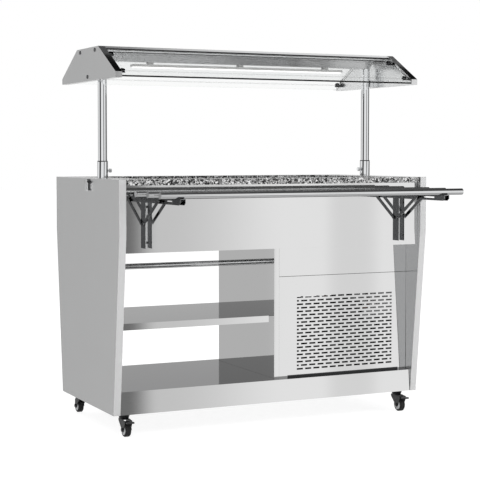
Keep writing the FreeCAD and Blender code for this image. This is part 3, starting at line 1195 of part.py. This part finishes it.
def build():
    end_panels()
    aprons()
    stone_top()
    well()
    refrigerant_lines()
    base()
    shelf_and_partition()
    machine_panels()
    condenser()
    fan()
    compressor()
    controls()
    drain()
    post_sockets()
    thumb_screws()
    posts()
    hood_ends()
    hood_cap()
    glass()
    lamp()
    tray_slides()
    latch()
    castors()


build()
os.makedirs("parts", exist_ok=True)
for piece, shape in PIECES.items():
    shape.exportStep("parts/" + piece + ".step")
print(len(PIECES), "sub-parts; shifted by", round(ORIGIN_X, 3), round(ORIGIN_Y, 3))
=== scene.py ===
"""Looks of the mobile salad bar: finishes, small fasteners and seals, light and camera.

The solids come packed in metres, +Z up, the customer side facing -Y.
"""
import math

import bmesh
import bpy
from mathutils import Matrix, Vector

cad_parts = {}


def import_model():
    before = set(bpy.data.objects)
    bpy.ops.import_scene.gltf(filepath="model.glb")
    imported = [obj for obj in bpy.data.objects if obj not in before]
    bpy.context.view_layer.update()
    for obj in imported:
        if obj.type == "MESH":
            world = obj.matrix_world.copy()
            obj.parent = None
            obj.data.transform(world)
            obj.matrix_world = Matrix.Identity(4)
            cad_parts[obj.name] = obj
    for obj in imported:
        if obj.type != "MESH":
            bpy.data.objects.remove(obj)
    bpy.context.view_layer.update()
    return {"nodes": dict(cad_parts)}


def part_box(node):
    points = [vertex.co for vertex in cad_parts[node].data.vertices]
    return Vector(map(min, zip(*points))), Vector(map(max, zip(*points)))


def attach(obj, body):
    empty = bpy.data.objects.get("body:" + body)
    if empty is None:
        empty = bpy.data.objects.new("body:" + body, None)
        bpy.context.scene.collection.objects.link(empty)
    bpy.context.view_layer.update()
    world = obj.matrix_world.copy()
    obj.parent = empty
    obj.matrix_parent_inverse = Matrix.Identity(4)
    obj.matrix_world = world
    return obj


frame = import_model()
nodes = frame["nodes"]

# ---- places and sizes that repeat the solids', in metres ---------------------------------------
SHIFT = Vector((0.0062, 0.1325, 0.0))      # the cabinet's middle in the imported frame
BRACKET_X = 0.495
APRON_Y = 0.315
LEG_WEB = 0.002
LEG_SCREWS_Z = (0.664, 0.784)
HOOD_END_X = 0.592
HOOD_SCREWS = ((-0.078, 1.320), (0.078, 1.320), (0.0, 1.231))      # (y, z) on an end plate
CONTROL = Vector((0.330, 0.241, 0.575))
CONTROL_SCREW_X, CONTROL_SCREW_Z = 0.087, 0.025                    # from the plate's middle
POST_X = 0.537
POST_R = 0.016
SOCKET_TOP = 0.934
CAP_X = 0.5675
# x span of the dark strip that paints shade in the gap under the vent panel
VENT_GAP_SHADE_X = (0.072, 0.541)
HUB_R = 0.0179

# ---- sizes of the fasteners, seals and painted-shade strips, in metres -------------------------
LEG_HEAD = (0.0045, 0.0024)                # radius and height
HOOD_HEAD = (0.0068, 0.003)
CONTROL_HEAD = (0.003, 0.0016)
HEAD_PROFILE = ((1, 0), (1, 0.35), (0.86, 0.75), (0.55, 1))        # shares of radius and height
HEAD_STEPS = 20
RECESS_R = (0.0008, 0.0007)                # at the mouth and at the floor
RECESS_FLOOR = 0.4                         # share of the head's height
SEAL_R = 0.0013
SEAL_GAP = 0.0002
SEAL_TURNS, SEAL_SIDES = 48, 8
GASKET_AND_LIP_SHADE = ((-0.1120, 1.3250), (-0.1132, 1.3246), (-0.1146, 1.3206), (-0.1134, 1.3197),
          (-0.1120, 1.3219))               # (y, z) at the front pane; a black gasket that also paints the shadow line under the cap's lip
# outline (y, z) of the dark strip that paints shade in the gap under the vent panel
VENT_GAP_SHADE = ((-0.2365, 0.1571), (-0.2345, 0.1571), (-0.2345, 0.1655), (-0.2365, 0.1655))

# ---- rounding and shading of the solids --------------------------------------------------------
WELD = 0.00001
EDGE = 0.0004
SOFT_EDGES = {"granite_top": 0.0008, "end_panel_left": 0.0012, "end_panel_right": 0.0012}
EDGE_ANGLE = 42                            # degrees; flatter edges are part of a curve
FLAT = ("vent_panel", "rear_panel", "condenser", "base_deck", "mid_shelf")   # sharp, not smooth
NO_BEVEL = ("refrigerant_lines",)                                           # smooth, not rounded

# shares of a face's normal along an axis, to tell the faces of a node apart
FACING = 0.9
TAPER_FACING = 0.7
SLOT_FACING = 0.5
SLOPE_FACING = 0.3
SLOT_AREA = 0.00003                        # square metres; a slot's edge faces are smaller, and are painted black as shade

# ---- textures ----------------------------------------------------------------------------------
NOISE_SPAN = (0.3, 0.7)                    # where most of a noise's values lie
GRAIN_SCALE, GRAIN_DEPTH = 900.0, 0.0002   # brushed metal
MARK_SCALE = 6.0
EVEN = (1, 1, 1)
ALONG_X = (0.02, 1, 1)
ALONG_Z = (1, 1, 0.02)
CLOUD_SCALE, CLOUD = 30.0, 0.15            # moulded pieces
TEXTURE_DEPTH = 0.0003
ROUGH_SPREAD = 0.06
PATCH_SCALE = 90.0                         # stone
WARP = 0.012
LARGE_SCALE, SMALL_SCALE = 190.0, 420.0
PATCHES = (0.48, 0.56, 0.0, 0.7)           # where the small grains show, and how strongly
LARGE_GRAINS = ((0.0, 0.010), (0.40, 0.06), (0.54, 0.22), (0.68, 0.55), (0.80, 0.90))
SMALL_GRAINS = ((0.0, 0.01), (0.45, 0.75))
PANE_TINTS = ((0.965, 0.975, 0.973, 1), (0.985, 0.99, 0.989, 1))
SMEAR_SCALE = 8.0

# ---- surroundings ------------------------------------------------------------------------------
STUDIO = 0.93              # grey of the studio that shiny faces see
DAYLIGHT = 0.62            # grey that lights matt faces
# heading in degrees from -Y towards +X, inner and outer half width in degrees, grey
COLUMNS = (
    (13, 9.0, 14.5, 0.66),         # in front, fades in beside the camera's mirror image
    (13, 7.7, 9.0, 0.18),
    (30.2, 0.3, 1.3, 0.80),
    (-159, 20, 32, 0.52),          # behind on the left
    (-161, 1.6, 3.4, 0.38),
    (-147.5, 3.0, 6.0, 0.90),
    (90, 18, 28, 0.05),            # right
    (-75, 14, 24, 0.06),           # left
)
HORIZON_COLUMN = (155, 20, 32, 0.32)       # behind on the right, seen only near the horizon
HORIZON = (-0.06, 0.055, 0.03)
# lowest and highest height of the direction, width of the soft edge, grey
BANDS = (
    (0.54, 1.2, 0.06, 0.11),
    (0.66, 0.80, 0.04, 0.04),
    (-0.68, -0.56, 0.05, 0.12),
    (-1.2, -0.78, 0.06, 0.55),
)
FLOOR_HALF = 30.0
FLOOR_GREY = 0.9           # as other surfaces see it
FLOOR_SHADE, FLOOR_GLOW = 0.30, 0.87       # as the camera sees it, almost white
# name, place, target, width and height, power
LIGHTS = (
    ("key", (-2.5, -3.5, 4.0), (0, 0, 0.8), (2.5, 2.5), 90),
    ("fill", (3.5, -2.5, 2.5), (0, 0, 0.7), (2.0, 2.0), 40),
    ("back", (0.5, 3.5, 3.5), (0, 0, 0.9), (3.0, 2.0), 50),
)
CAMERA_PLACE = (-2.1689, -4.5585, 0.9633)  # from the cabinet's middle
CAMERA_DIP = 2.6411                        # degrees below level
CAMERA_TURN = -0.4443
LENS = 102.07
LENS_SHIFT = -0.05


# ---- helpers -----------------------------------------------------------------------------------
class Nodes:
    """Empties a node tree, then adds nodes and sets or links their inputs."""

    def __init__(self, owner, output):
        owner.use_nodes = True
        self.tree = owner.node_tree
        self.tree.nodes.clear()
        self.output = self.add(output)

    def set(self, node, values):
        """Link inputs to sockets and give the others plain values."""
        for key, value in values.items():
            if isinstance(value, bpy.types.NodeSocket):
                self.tree.links.new(value, node.inputs[key])
            else:
                node.inputs[key].default_value = value

    def add(self, kind, values=None, **settings):
        node = self.tree.nodes.new(kind)
        for name, value in settings.items():
            setattr(node, name, value)
        self.set(node, values or {})
        return node

    def mix(self, factor, a, b):
        """Colour between a and b."""
        return self.add("ShaderNodeMix", {0: factor, 6: a, 7: b}, data_type="RGBA").outputs[2]

    def remap(self, value, low, high, to_low, to_high):
        """Smooth step from to_low to to_high while value goes from low to high."""
        return self.add("ShaderNodeMapRange", {0: value, 1: low, 2: high, 3: to_low, 4: to_high},
                        interpolation_type="SMOOTHSTEP").outputs[0]

    def noise(self, coord, scale, detail, stretch=EVEN):
        mapped = self.add("ShaderNodeMapping", {"Vector": coord, "Scale": stretch}).outputs[0]
        return self.add("ShaderNodeTexNoise", {"Vector": mapped, "Scale": scale,
                                               "Detail": detail}).outputs[0]

    def bump(self, height, strength, distance):
        return self.add("ShaderNodeBump", {"Height": height, "Strength": strength,
                                           "Distance": distance}).outputs[0]

    def vector(self, operation, values, output=0):
        return self.add("ShaderNodeVectorMath", values, operation=operation).outputs[output]

    def grains(self, place, scale, stops):
        """Cells in flat greys, each grey from its share of the cells up."""
        cells = self.add("ShaderNodeTexVoronoi", {"Vector": place, "Scale": scale})
        pick = self.add("ShaderNodeSeparateColor", {0: cells.outputs["Color"]}).outputs[0]
        ramp = self.add("ShaderNodeValToRGB", {0: pick})
        ramp.color_ramp.interpolation = "CONSTANT"
        elements = ramp.color_ramp.elements
        for element, (position, level) in zip(list(elements), stops):
            element.position, element.color = position, grey(level)
        for position, level in stops[2:]:
            elements.new(position).color = grey(level)
        return ramp.outputs[0]


def grey(level):
    return (level, level, level, 1.0)


def tones(colour, change):
    """A darker and a lighter tone of a colour."""
    return ([c * (1 - change) for c in colour] + [1],
            [min(1, c * (1 + change)) for c in colour] + [1])


def new_material(name):
    material = bpy.data.materials.new(name)
    kit = Nodes(material, "ShaderNodeOutputMaterial")
    shader = kit.add("ShaderNodeBsdfPrincipled")
    kit.set(kit.output, {0: shader.outputs[0]})
    coord = kit.add("ShaderNodeTexCoord").outputs["Object"]
    return material, kit, shader, coord


def add_object(name, data):
    thing = bpy.data.objects.new(name, data)
    bpy.context.scene.collection.objects.link(thing)
    return thing


# ---- kinds of finish ---------------------------------------------------------------------------
def metal(name, colour, rough, spread, brush=EVEN, bump=0.02, cloud=0.04, metallic=1.0, rim=1.0):
    """Metal with a fine brushed grain along one axis and faint handling marks."""
    material, kit, shader, coord = new_material(name)
    grain = kit.noise(coord, GRAIN_SCALE, 2.0, brush)
    marks = kit.noise(coord, MARK_SCALE, 4.0)
    kit.set(shader, {
        "Base Color": kit.mix(marks, *tones(colour, cloud)),
        "Metallic": metallic,
        "Specular Tint": grey(rim),
        "Roughness": kit.remap(grain, *NOISE_SPAN, max(0.01, rough - spread), rough + spread),
        "Normal": kit.bump(grain, bump, GRAIN_DEPTH),
    })
    return material


def moulded(name, colour, rough, scale, bump, specular=0.5):
    """Plastic, rubber, foam or paint with a fine texture and slight variation."""
    material, kit, shader, coord = new_material(name)
    cloudy = kit.noise(coord, CLOUD_SCALE, 3.0)
    texture = kit.noise(coord, scale, 2.0)
    kit.set(shader, {
        "Base Color": kit.mix(cloudy, *tones(colour, CLOUD)),
        "Roughness": kit.remap(texture, *NOISE_SPAN, rough - ROUGH_SPREAD, rough + ROUGH_SPREAD),
        "Specular IOR Level": specular,
        "Normal": kit.bump(texture, bump, TEXTURE_DEPTH),
    })
    return material


def granite():
    """Polished stone with black, grey and white grains of two sizes."""
    material, kit, shader, coord = new_material("granite")
    warp = kit.add("ShaderNodeTexNoise", {"Vector": coord, "Scale": PATCH_SCALE, "Detail": 3.0})
    offset = kit.vector("SCALE", {0: warp.outputs["Color"], 3: WARP})
    place = kit.vector("ADD", {0: coord, 1: offset})
    large = kit.grains(place, LARGE_SCALE, LARGE_GRAINS)
    small = kit.grains(place, SMALL_SCALE, SMALL_GRAINS)
    mask = kit.remap(kit.noise(coord, PATCH_SCALE, 2.0), *PATCHES)
    kit.set(shader, {"Base Color": kit.mix(mask, large, small), "Roughness": 0.18})
    return material


def glass():
    """Clear pane with a faint cool tint and slight smears."""
    material, kit, shader, coord = new_material("clear_glass")
    smear = kit.noise(coord, SMEAR_SCALE, 3.0)
    kit.set(shader, {
        "Base Color": kit.mix(smear, *PANE_TINTS),
        "Roughness": kit.remap(smear, *NOISE_SPAN, 0.0, 0.02),
        "Transmission Weight": 1.0,
        "IOR": 1.33,
    })
    return material


def lit(name, colour, strength):
    """Ribbed lamp cover that glows."""
    material, kit, shader, coord = new_material(name)
    ribs = kit.noise(coord, 300.0, 1.0, (0.05, 1, 1))
    kit.set(shader, {
        "Base Color": kit.mix(ribs, [c * 0.96 for c in colour] + [1], (*colour, 1)),
        "Roughness": 0.35,
        "Emission Color": (*colour, 1),
        "Emission Strength": strength,
    })
    return material


# ---- finishes ----------------------------------------------------------------------------------
# name, colour, roughness and its spread, grain
polished = metal("polished_steel", (0.80, 0.80, 0.80), 0.03, 0.01, ALONG_X,
                 bump=0.004, cloud=0.01)
satin = metal("satin_steel", (0.775, 0.778, 0.78), 0.24, 0.02, ALONG_Z, bump=0.003, cloud=0.01)
# lighter copy of the satin panel steel for the end panels' front faces: painted highlight
highlight_edge_steel = metal("panel_edge_painted_highlight_steel", (0.83, 0.832, 0.835), 0.45, 0.02, ALONG_Z,
                   bump=0.003, cloud=0.01, metallic=0.5)
# darker copy of the panel steel for the right end panel's inner face: painted shade
shaded_inner_steel = metal("inner_panel_painted_shade_steel", (0.43, 0.435, 0.44), 0.20, 0.02, ALONG_Z,
                    bump=0.003, cloud=0.01)
# darker copy of the polished steel for the tops of the deck and shelf: painted shade
shaded_top_steel = metal("shelf_top_painted_shade_steel", (0.30, 0.302, 0.305), 0.07, 0.02, ALONG_X,
                    bump=0.006, cloud=0.015, rim=0.56)
dark_steel = metal("hood_steel", (0.76, 0.765, 0.77), 0.12, 0.03, ALONG_X, bump=0.01)
tub_steel = metal("tub_steel", (0.66, 0.665, 0.67), 0.22, 0.05, ALONG_X)
leg_steel = metal("leg_steel", (0.92, 0.925, 0.93), 0.16, 0.03, ALONG_Z, bump=0.01)
# darker copy of the leg steel for the arms and braces: painted shade
bracket_steel = metal("bracket_steel", (0.36, 0.365, 0.37), 0.14, 0.04, ALONG_Z,
                      bump=0.015, cloud=0.08)
# darkest copy of the steel for faces turned sideways, the hood ends' slopes, the glass clamps and
# the vent gap strip: painted shade
shaded_side_steel = metal("bracket_side_painted_shade_steel", (0.10, 0.102, 0.105), 0.14, 0.04, ALONG_Z,
                   cloud=0.10, rim=0.5)
tube_chrome = metal("tube_chrome", (0.80, 0.81, 0.82), 0.05, 0.015, ALONG_Z, bump=0.004)
# edge tint 0.2 darkens the rails' grazing reflections: painted shade on the chrome
rail_chrome = metal("rail_chrome", (0.74, 0.745, 0.75), 0.06, 0.02, ALONG_X,
                    bump=0.004, rim=0.2)
zinc = metal("zinc_plate", (0.62, 0.63, 0.65), 0.34, 0.08, bump=0.05, cloud=0.10)
copper = metal("copper", (0.30, 0.15, 0.10), 0.24, 0.08, bump=0.03, cloud=0.12)
housing_steel = metal("housing_steel", (0.85, 0.855, 0.86), 0.20, 0.03, ALONG_X, bump=0.01)
screw_steel = metal("screw_steel", (0.16, 0.16, 0.165), 0.26, 0.05)
# name, colour, roughness, texture scale, bump
# black enamel of the condenser and fan shroud; on the vent panel's slot edges the same black is
# painted shade
fins_and_slot_shade = moulded("fin_enamel_and_slot_shade", (0.012, 0.012, 0.013), 0.6, 500.0, 0.2, specular=0.2)
foam = moulded("foam", (0.80, 0.70, 0.40), 0.85, 250.0, 0.6)
black_paint = moulded("black_paint", (0.015, 0.015, 0.017), 0.34, 700.0, 0.10)
black_plastic = moulded("black_plastic", (0.02, 0.02, 0.022), 0.42, 1100.0, 0.12)
rubber = moulded("tyre_rubber", (0.018, 0.018, 0.019), 0.55, 600.0, 0.25, specular=0.3)
hub_grey = moulded("hub_plastic", (0.82, 0.83, 0.84), 0.38, 800.0, 0.08)
lamp_white = moulded("lamp_enamel", (0.86, 0.86, 0.85), 0.35, 500.0, 0.05)
lamp_glow = lit("lamp_glow", (1.0, 0.995, 0.98), 1.1)
pane = glass()
stone = granite()

FINISH = {
    polished: "apron_front apron_rear base_deck mid_shelf front_fascia vent_panel rear_panel "
              "partition",
    satin: "end_panel_left end_panel_right hood_end_left hood_end_right underfloor",
    dark_steel: "hood_cap",
    housing_steel: "lamp_housing",
    # the glass clamps take the dark steel that paints shade
    shaded_side_steel: "glass_clamps",
    tub_steel: "well_tub",
    leg_steel: "bracket_legs latch_lever",
    bracket_steel: "front_arms rear_arms front_brace_left front_brace_right "
                   "rear_brace_left rear_brace_right",
    tube_chrome: "hood_posts post_sockets thumb_screw_left thumb_screw_right",
    rail_chrome: "front_rails rear_rails",
    zinc: "castor_channels",
    copper: "refrigerant_lines drain_pipe",
    fins_and_slot_shade: "condenser fan_shroud",
    foam: "well_insulation",
    black_paint: "compressor castor_fork_front_left castor_fork_front_right "
                 "castor_fork_rear_left castor_fork_rear_right latch_base",
    black_plastic: "control_plate power_switch light_switch thermostat_knob drain_lever "
                   "fan_blade castor_brake_front_left castor_brake_front_right",
    rubber: "castor_wheel_front_left castor_wheel_front_right castor_wheel_rear_left "
            "castor_wheel_rear_right",
    pane: "hood_glass_front hood_glass_rear",
    lamp_white: "lamp_bar",
    lamp_glow: "lamp_diffuser",
    stone: "granite_top",
}


def dress(node, material):
    """Finish a solid, round its edges a little and shade its curves smoothly."""
    thing = nodes[node]
    mesh = thing.data
    mesh.materials.clear()
    mesh.materials.append(material)
    if "custom_normal" in mesh.attributes:
        mesh.attributes.remove(mesh.attributes["custom_normal"])
    mesh.polygons.foreach_set("use_smooth", [node not in FLAT] * len(mesh.polygons))
    weld = thing.modifiers.new("weld", "WELD")
    weld.merge_threshold = WELD
    if node in FLAT or node in NO_BEVEL:
        return
    bevel = thing.modifiers.new("bevel", "BEVEL")
    bevel.width = SOFT_EDGES.get(node, EDGE)
    bevel.segments = 2
    bevel.limit_method = "ANGLE"
    bevel.angle_limit = math.radians(EDGE_ANGLE)
    even = thing.modifiers.new("even", "WEIGHTED_NORMAL")
    even.mode = "FACE_AREA"
    even.weight = 100
    even.keep_sharp = False


for material, names in FINISH.items():
    for name in names.split():
        dress(name, material)


# ---- second finishes on faces of a node: painted light and shade by facing, and grey hubs ------
def split(node, second, chosen):
    """Faces for which chosen(face) holds get a second finish."""
    mesh = nodes[node].data
    mesh.materials.append(second)
    index = len(mesh.materials) - 1
    for face in mesh.polygons:
        if chosen(face):
            face.material_index = index


# tops of the deck and shelf: painted shade
for name in ("base_deck", "mid_shelf"):
    split(name, shaded_top_steel, lambda face: face.normal.z > FACING)
# front faces of the end panels: painted highlight, chosen by facing
for name in ("end_panel_left", "end_panel_right"):
    split(name, highlight_edge_steel, lambda face: face.normal.y < -TAPER_FACING)
# inner face of the right end panel: painted shade
split("end_panel_right", shaded_inner_steel, lambda face: face.normal.x < -FACING)
# sloping faces of the hood ends: painted shade
for name in ("hood_end_left", "hood_end_right"):
    split(name, shaded_side_steel,
          lambda face: abs(face.normal.y) > SLOPE_FACING and face.normal.z > SLOPE_FACING)
# edge faces of the vent slots: black, painted shade in the slots
split("vent_panel", fins_and_slot_shade,
      lambda face: abs(face.normal.y) < SLOT_FACING and face.area < SLOT_AREA)
# faces of the legs, arms and braces turned towards +X or -X: painted shade
for name in ("bracket_legs", *FINISH[bracket_steel].split()):
    split(name, shaded_side_steel, lambda face: abs(face.normal.x) > FACING)
for name in ("front_left", "front_right", "rear_left", "rear_right"):
    low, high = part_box("castor_wheel_" + name)
    axle = (low + high) / 2
    split("castor_wheel_" + name, hub_grey,
          lambda face: (face.center - axle).yz.length < HUB_R)


# ---- small fasteners, seals and dark strips that paint shade -----------------------------------
def make_piece(name, mesh_maker, material, body):
    mesh = bpy.data.meshes.new(name)
    builder = bmesh.new()
    mesh_maker(builder)
    bmesh.ops.recalc_face_normals(builder, faces=builder.faces)
    builder.to_mesh(mesh)
    builder.free()
    mesh.materials.append(material)
    thing = add_object(name, mesh)
    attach(thing, body)


def pan_head(builder, centre, normal, radius, height):
    """Domed screw head with a small recess, turned as a profile about its axis."""
    turn = Vector((0, 0, 1)).rotation_difference(normal).to_matrix().to_4x4()
    place = Matrix.Translation(centre) @ turn
    mouth, bottom = RECESS_R
    profile = [(radius * r, height * z) for r, z in HEAD_PROFILE]
    profile += [(mouth, height), (bottom, height * RECESS_FLOOR)]
    angles = [2 * math.pi * k / HEAD_STEPS for k in range(HEAD_STEPS)]
    rings = [[builder.verts.new(place @ Vector((r * math.cos(a), r * math.sin(a), z)))
              for a in angles] for r, z in profile]
    for lower, upper in zip(rings, rings[1:]):
        for k in range(HEAD_STEPS):
            n = (k + 1) % HEAD_STEPS
            builder.faces.new((lower[k], lower[n], upper[n], upper[k])).smooth = True
    builder.faces.new(rings[0][::-1])
    builder.faces.new(rings[-1])


def leg_screws(builder):
    for side in (-1, 1):
        for front in (-1, 1):
            for z in LEG_SCREWS_Z:
                centre = SHIFT + Vector((side * BRACKET_X, front * (APRON_Y + LEG_WEB), z))
                pan_head(builder, centre, Vector((0, front, 0)), *LEG_HEAD)


def hood_screws(builder):
    for side in (-1, 1):
        for y, z in HOOD_SCREWS:
            centre = SHIFT + Vector((side * HOOD_END_X, y, z))
            pan_head(builder, centre, Vector((side, 0, 0)), *HOOD_HEAD)


def control_screws(builder):
    for dx in (-CONTROL_SCREW_X, CONTROL_SCREW_X):
        for dz in (-CONTROL_SCREW_Z, CONTROL_SCREW_Z):
            centre = SHIFT + CONTROL + Vector((dx, 0, dz))
            pan_head(builder, centre, Vector((0, 1, 0)), *CONTROL_HEAD)


def post_seals(builder):
    """Black ring round each post, lying on its socket."""
    for side in (-1, 1):
        centre = SHIFT + Vector((side * POST_X, 0, SOCKET_TOP + SEAL_R))
        rings = []
        for k in range(SEAL_TURNS):
            a = 2 * math.pi * k / SEAL_TURNS
            out = Vector((math.cos(a), math.sin(a), 0))
            rings.append([])
            for n in range(SEAL_SIDES):
                b = 2 * math.pi * n / SEAL_SIDES
                away = POST_R + SEAL_GAP + SEAL_R * (1 + math.cos(b))
                rise = Vector((0, 0, SEAL_R * math.sin(b)))
                rings[-1].append(builder.verts.new(centre + out * away + rise))
        for k in range(SEAL_TURNS):
            here, there = rings[k], rings[(k + 1) % SEAL_TURNS]
            for n in range(SEAL_SIDES):
                m = (n + 1) % SEAL_SIDES
                builder.faces.new((here[n], there[n], there[m], here[m])).smooth = True


def bar(builder, outline, x0, x1):
    """Straight strip with the given outline in (y, z)."""
    near = [builder.verts.new(SHIFT + Vector((x0, y, z))) for y, z in outline]
    far = [builder.verts.new(SHIFT + Vector((x1, y, z))) for y, z in outline]
    builder.faces.new(near)
    builder.faces.new(far[::-1])
    for k in range(len(outline)):
        n = (k + 1) % len(outline)
        builder.faces.new((near[n], near[k], far[k], far[n]))


def pane_seals_and_lip_shade(builder):
    """Black gasket between the cap's lip and each pane, which also paints the shadow line under
    the lip.
    """
    for side in (1, -1):
        bar(builder, [(side * y, z) for y, z in GASKET_AND_LIP_SHADE][::side], -CAP_X, CAP_X)


def vent_gap_shade_strip(builder):
    """Dark strip behind the gap under the vent panel: painted shade."""
    bar(builder, VENT_GAP_SHADE, *VENT_GAP_SHADE_X)


make_piece("pane_seals_and_lip_shade", pane_seals_and_lip_shade, rubber, "hood")
make_piece("vent_gap_shade_strip", vent_gap_shade_strip, shaded_side_steel, "cabinet")
make_piece("post_seals", post_seals, rubber, "cabinet")
make_piece("leg_screws", leg_screws, screw_steel, "cabinet")
make_piece("hood_screws", hood_screws, screw_steel, "hood")
make_piece("control_screws", control_screws, screw_steel, "cabinet")


# ---- world, floor, lights and camera -----------------------------------------------------------
def world():
    """White to the camera and through glass; shiny faces see a soft studio with darker zones."""
    studio = bpy.data.worlds.new("studio")
    bpy.context.scene.world = studio
    kit = Nodes(studio, "ShaderNodeOutputWorld")
    direction = kit.add("ShaderNodeTexCoord").outputs["Generated"]
    height = kit.add("ShaderNodeSeparateXYZ", {0: direction}).outputs[2]
    level = kit.vector("NORMALIZE", {0: kit.vector("MULTIPLY", {0: direction, 1: (1, 1, 0)})})

    def column(shade, heading, inner, outer, value):
        """Blend in a grey around a heading."""
        a = math.radians(heading)
        axis = (math.sin(a), -math.cos(a), 0)
        dot = kit.vector("DOT_PRODUCT", {0: level, 1: axis}, "Value")
        edges = (math.cos(math.radians(outer)), math.cos(math.radians(inner)))
        return kit.mix(kit.remap(dot, *edges, 0, 1), shade, grey(value))

    def band(shade, low, high, soft, colour):
        """Blend in a colour between two heights of the direction."""
        rise = kit.remap(height, low - soft, low, 0, 1)
        fall = kit.remap(height, high, high + soft, 1, 0)
        both = kit.add("ShaderNodeMath", {0: rise, 1: fall}, operation="MULTIPLY").outputs[0]
        return kit.mix(both, shade, colour)

    shade = grey(STUDIO)
    for place in COLUMNS:
        shade = column(shade, *place)
    shade = band(shade, *HORIZON, column(shade, *HORIZON_COLUMN))
    for low, high, soft, value in BANDS:
        shade = band(shade, low, high, soft, grey(value))
    ray = kit.add("ShaderNodeLightPath").outputs
    seen = kit.mix(ray["Is Glossy Ray"], grey(DAYLIGHT), shade)
    clear = kit.add("ShaderNodeMath", {0: ray["Is Camera Ray"], 1: ray["Is Transmission Ray"]},
                    operation="MAXIMUM").outputs[0]
    light = kit.mix(clear, seen, grey(1.0))
    background = kit.add("ShaderNodeBackground", {0: light, 1: 1.0})
    kit.set(kit.output, {0: background.outputs[0]})


def floor():
    """Pale floor that keeps a soft shadow; shiny faces see the studio through it."""
    corners = [(-FLOOR_HALF, -FLOOR_HALF, 0), (FLOOR_HALF, -FLOOR_HALF, 0),
               (FLOOR_HALF, FLOOR_HALF, 0), (-FLOOR_HALF, FLOOR_HALF, 0)]
    mesh = bpy.data.meshes.new("floor")
    mesh.from_pydata(corners, [], [(0, 1, 2, 3)])
    material = bpy.data.materials.new("floor")
    kit = Nodes(material, "ShaderNodeOutputMaterial")
    ray = kit.add("ShaderNodeLightPath").outputs
    diffuse = kit.add("ShaderNodeBsdfDiffuse", {0: grey(FLOOR_GREY)}).outputs[0]
    faint = kit.add("ShaderNodeBsdfDiffuse", {0: grey(FLOOR_SHADE)}).outputs[0]
    glow = kit.add("ShaderNodeEmission", {0: grey(1.0), 1: FLOOR_GLOW}).outputs[0]
    clear = kit.add("ShaderNodeBsdfTransparent").outputs[0]
    shown = kit.add("ShaderNodeAddShader", {0: faint, 1: glow}).outputs[0]
    matt = kit.add("ShaderNodeMixShader", {0: ray["Is Camera Ray"], 1: diffuse, 2: shown})
    final = kit.add("ShaderNodeMixShader", {0: ray["Is Glossy Ray"], 1: matt.outputs[0], 2: clear})
    kit.set(kit.output, {0: final.outputs[0]})
    mesh.materials.append(material)
    add_object("floor", mesh)


def area_light(name, place, target, size, power):
    """Rectangular lamp that lights but is never seen."""
    lamp = bpy.data.lights.new(name, "AREA")
    lamp.shape = "RECTANGLE"
    lamp.size, lamp.size_y = size
    lamp.energy = power
    thing = add_object(name, lamp)
    thing.location = place
    thing.rotation_euler = (Vector(target) - Vector(place)).to_track_quat("-Z", "Y").to_euler()
    thing.visible_glossy = False
    thing.visible_camera = False
    thing.visible_transmission = False


def camera():
    """Camera at the photograph's viewing place, tilted and shifted down a little."""
    data = bpy.data.cameras.new("camera")
    data.sensor_width = 36.0
    data.lens = LENS
    data.shift_y = LENS_SHIFT
    data.clip_end = 100.0
    thing = add_object("camera", data)
    thing.location = SHIFT + Vector(CAMERA_PLACE)
    thing.rotation_euler = (math.radians(90 - CAMERA_DIP), 0, CAMERA_TURN)
    bpy.context.scene.camera = thing


world()
floor()
for light in LIGHTS:
    area_light(*light)
camera()
bpy.context.scene.view_settings.view_transform = "Standard"
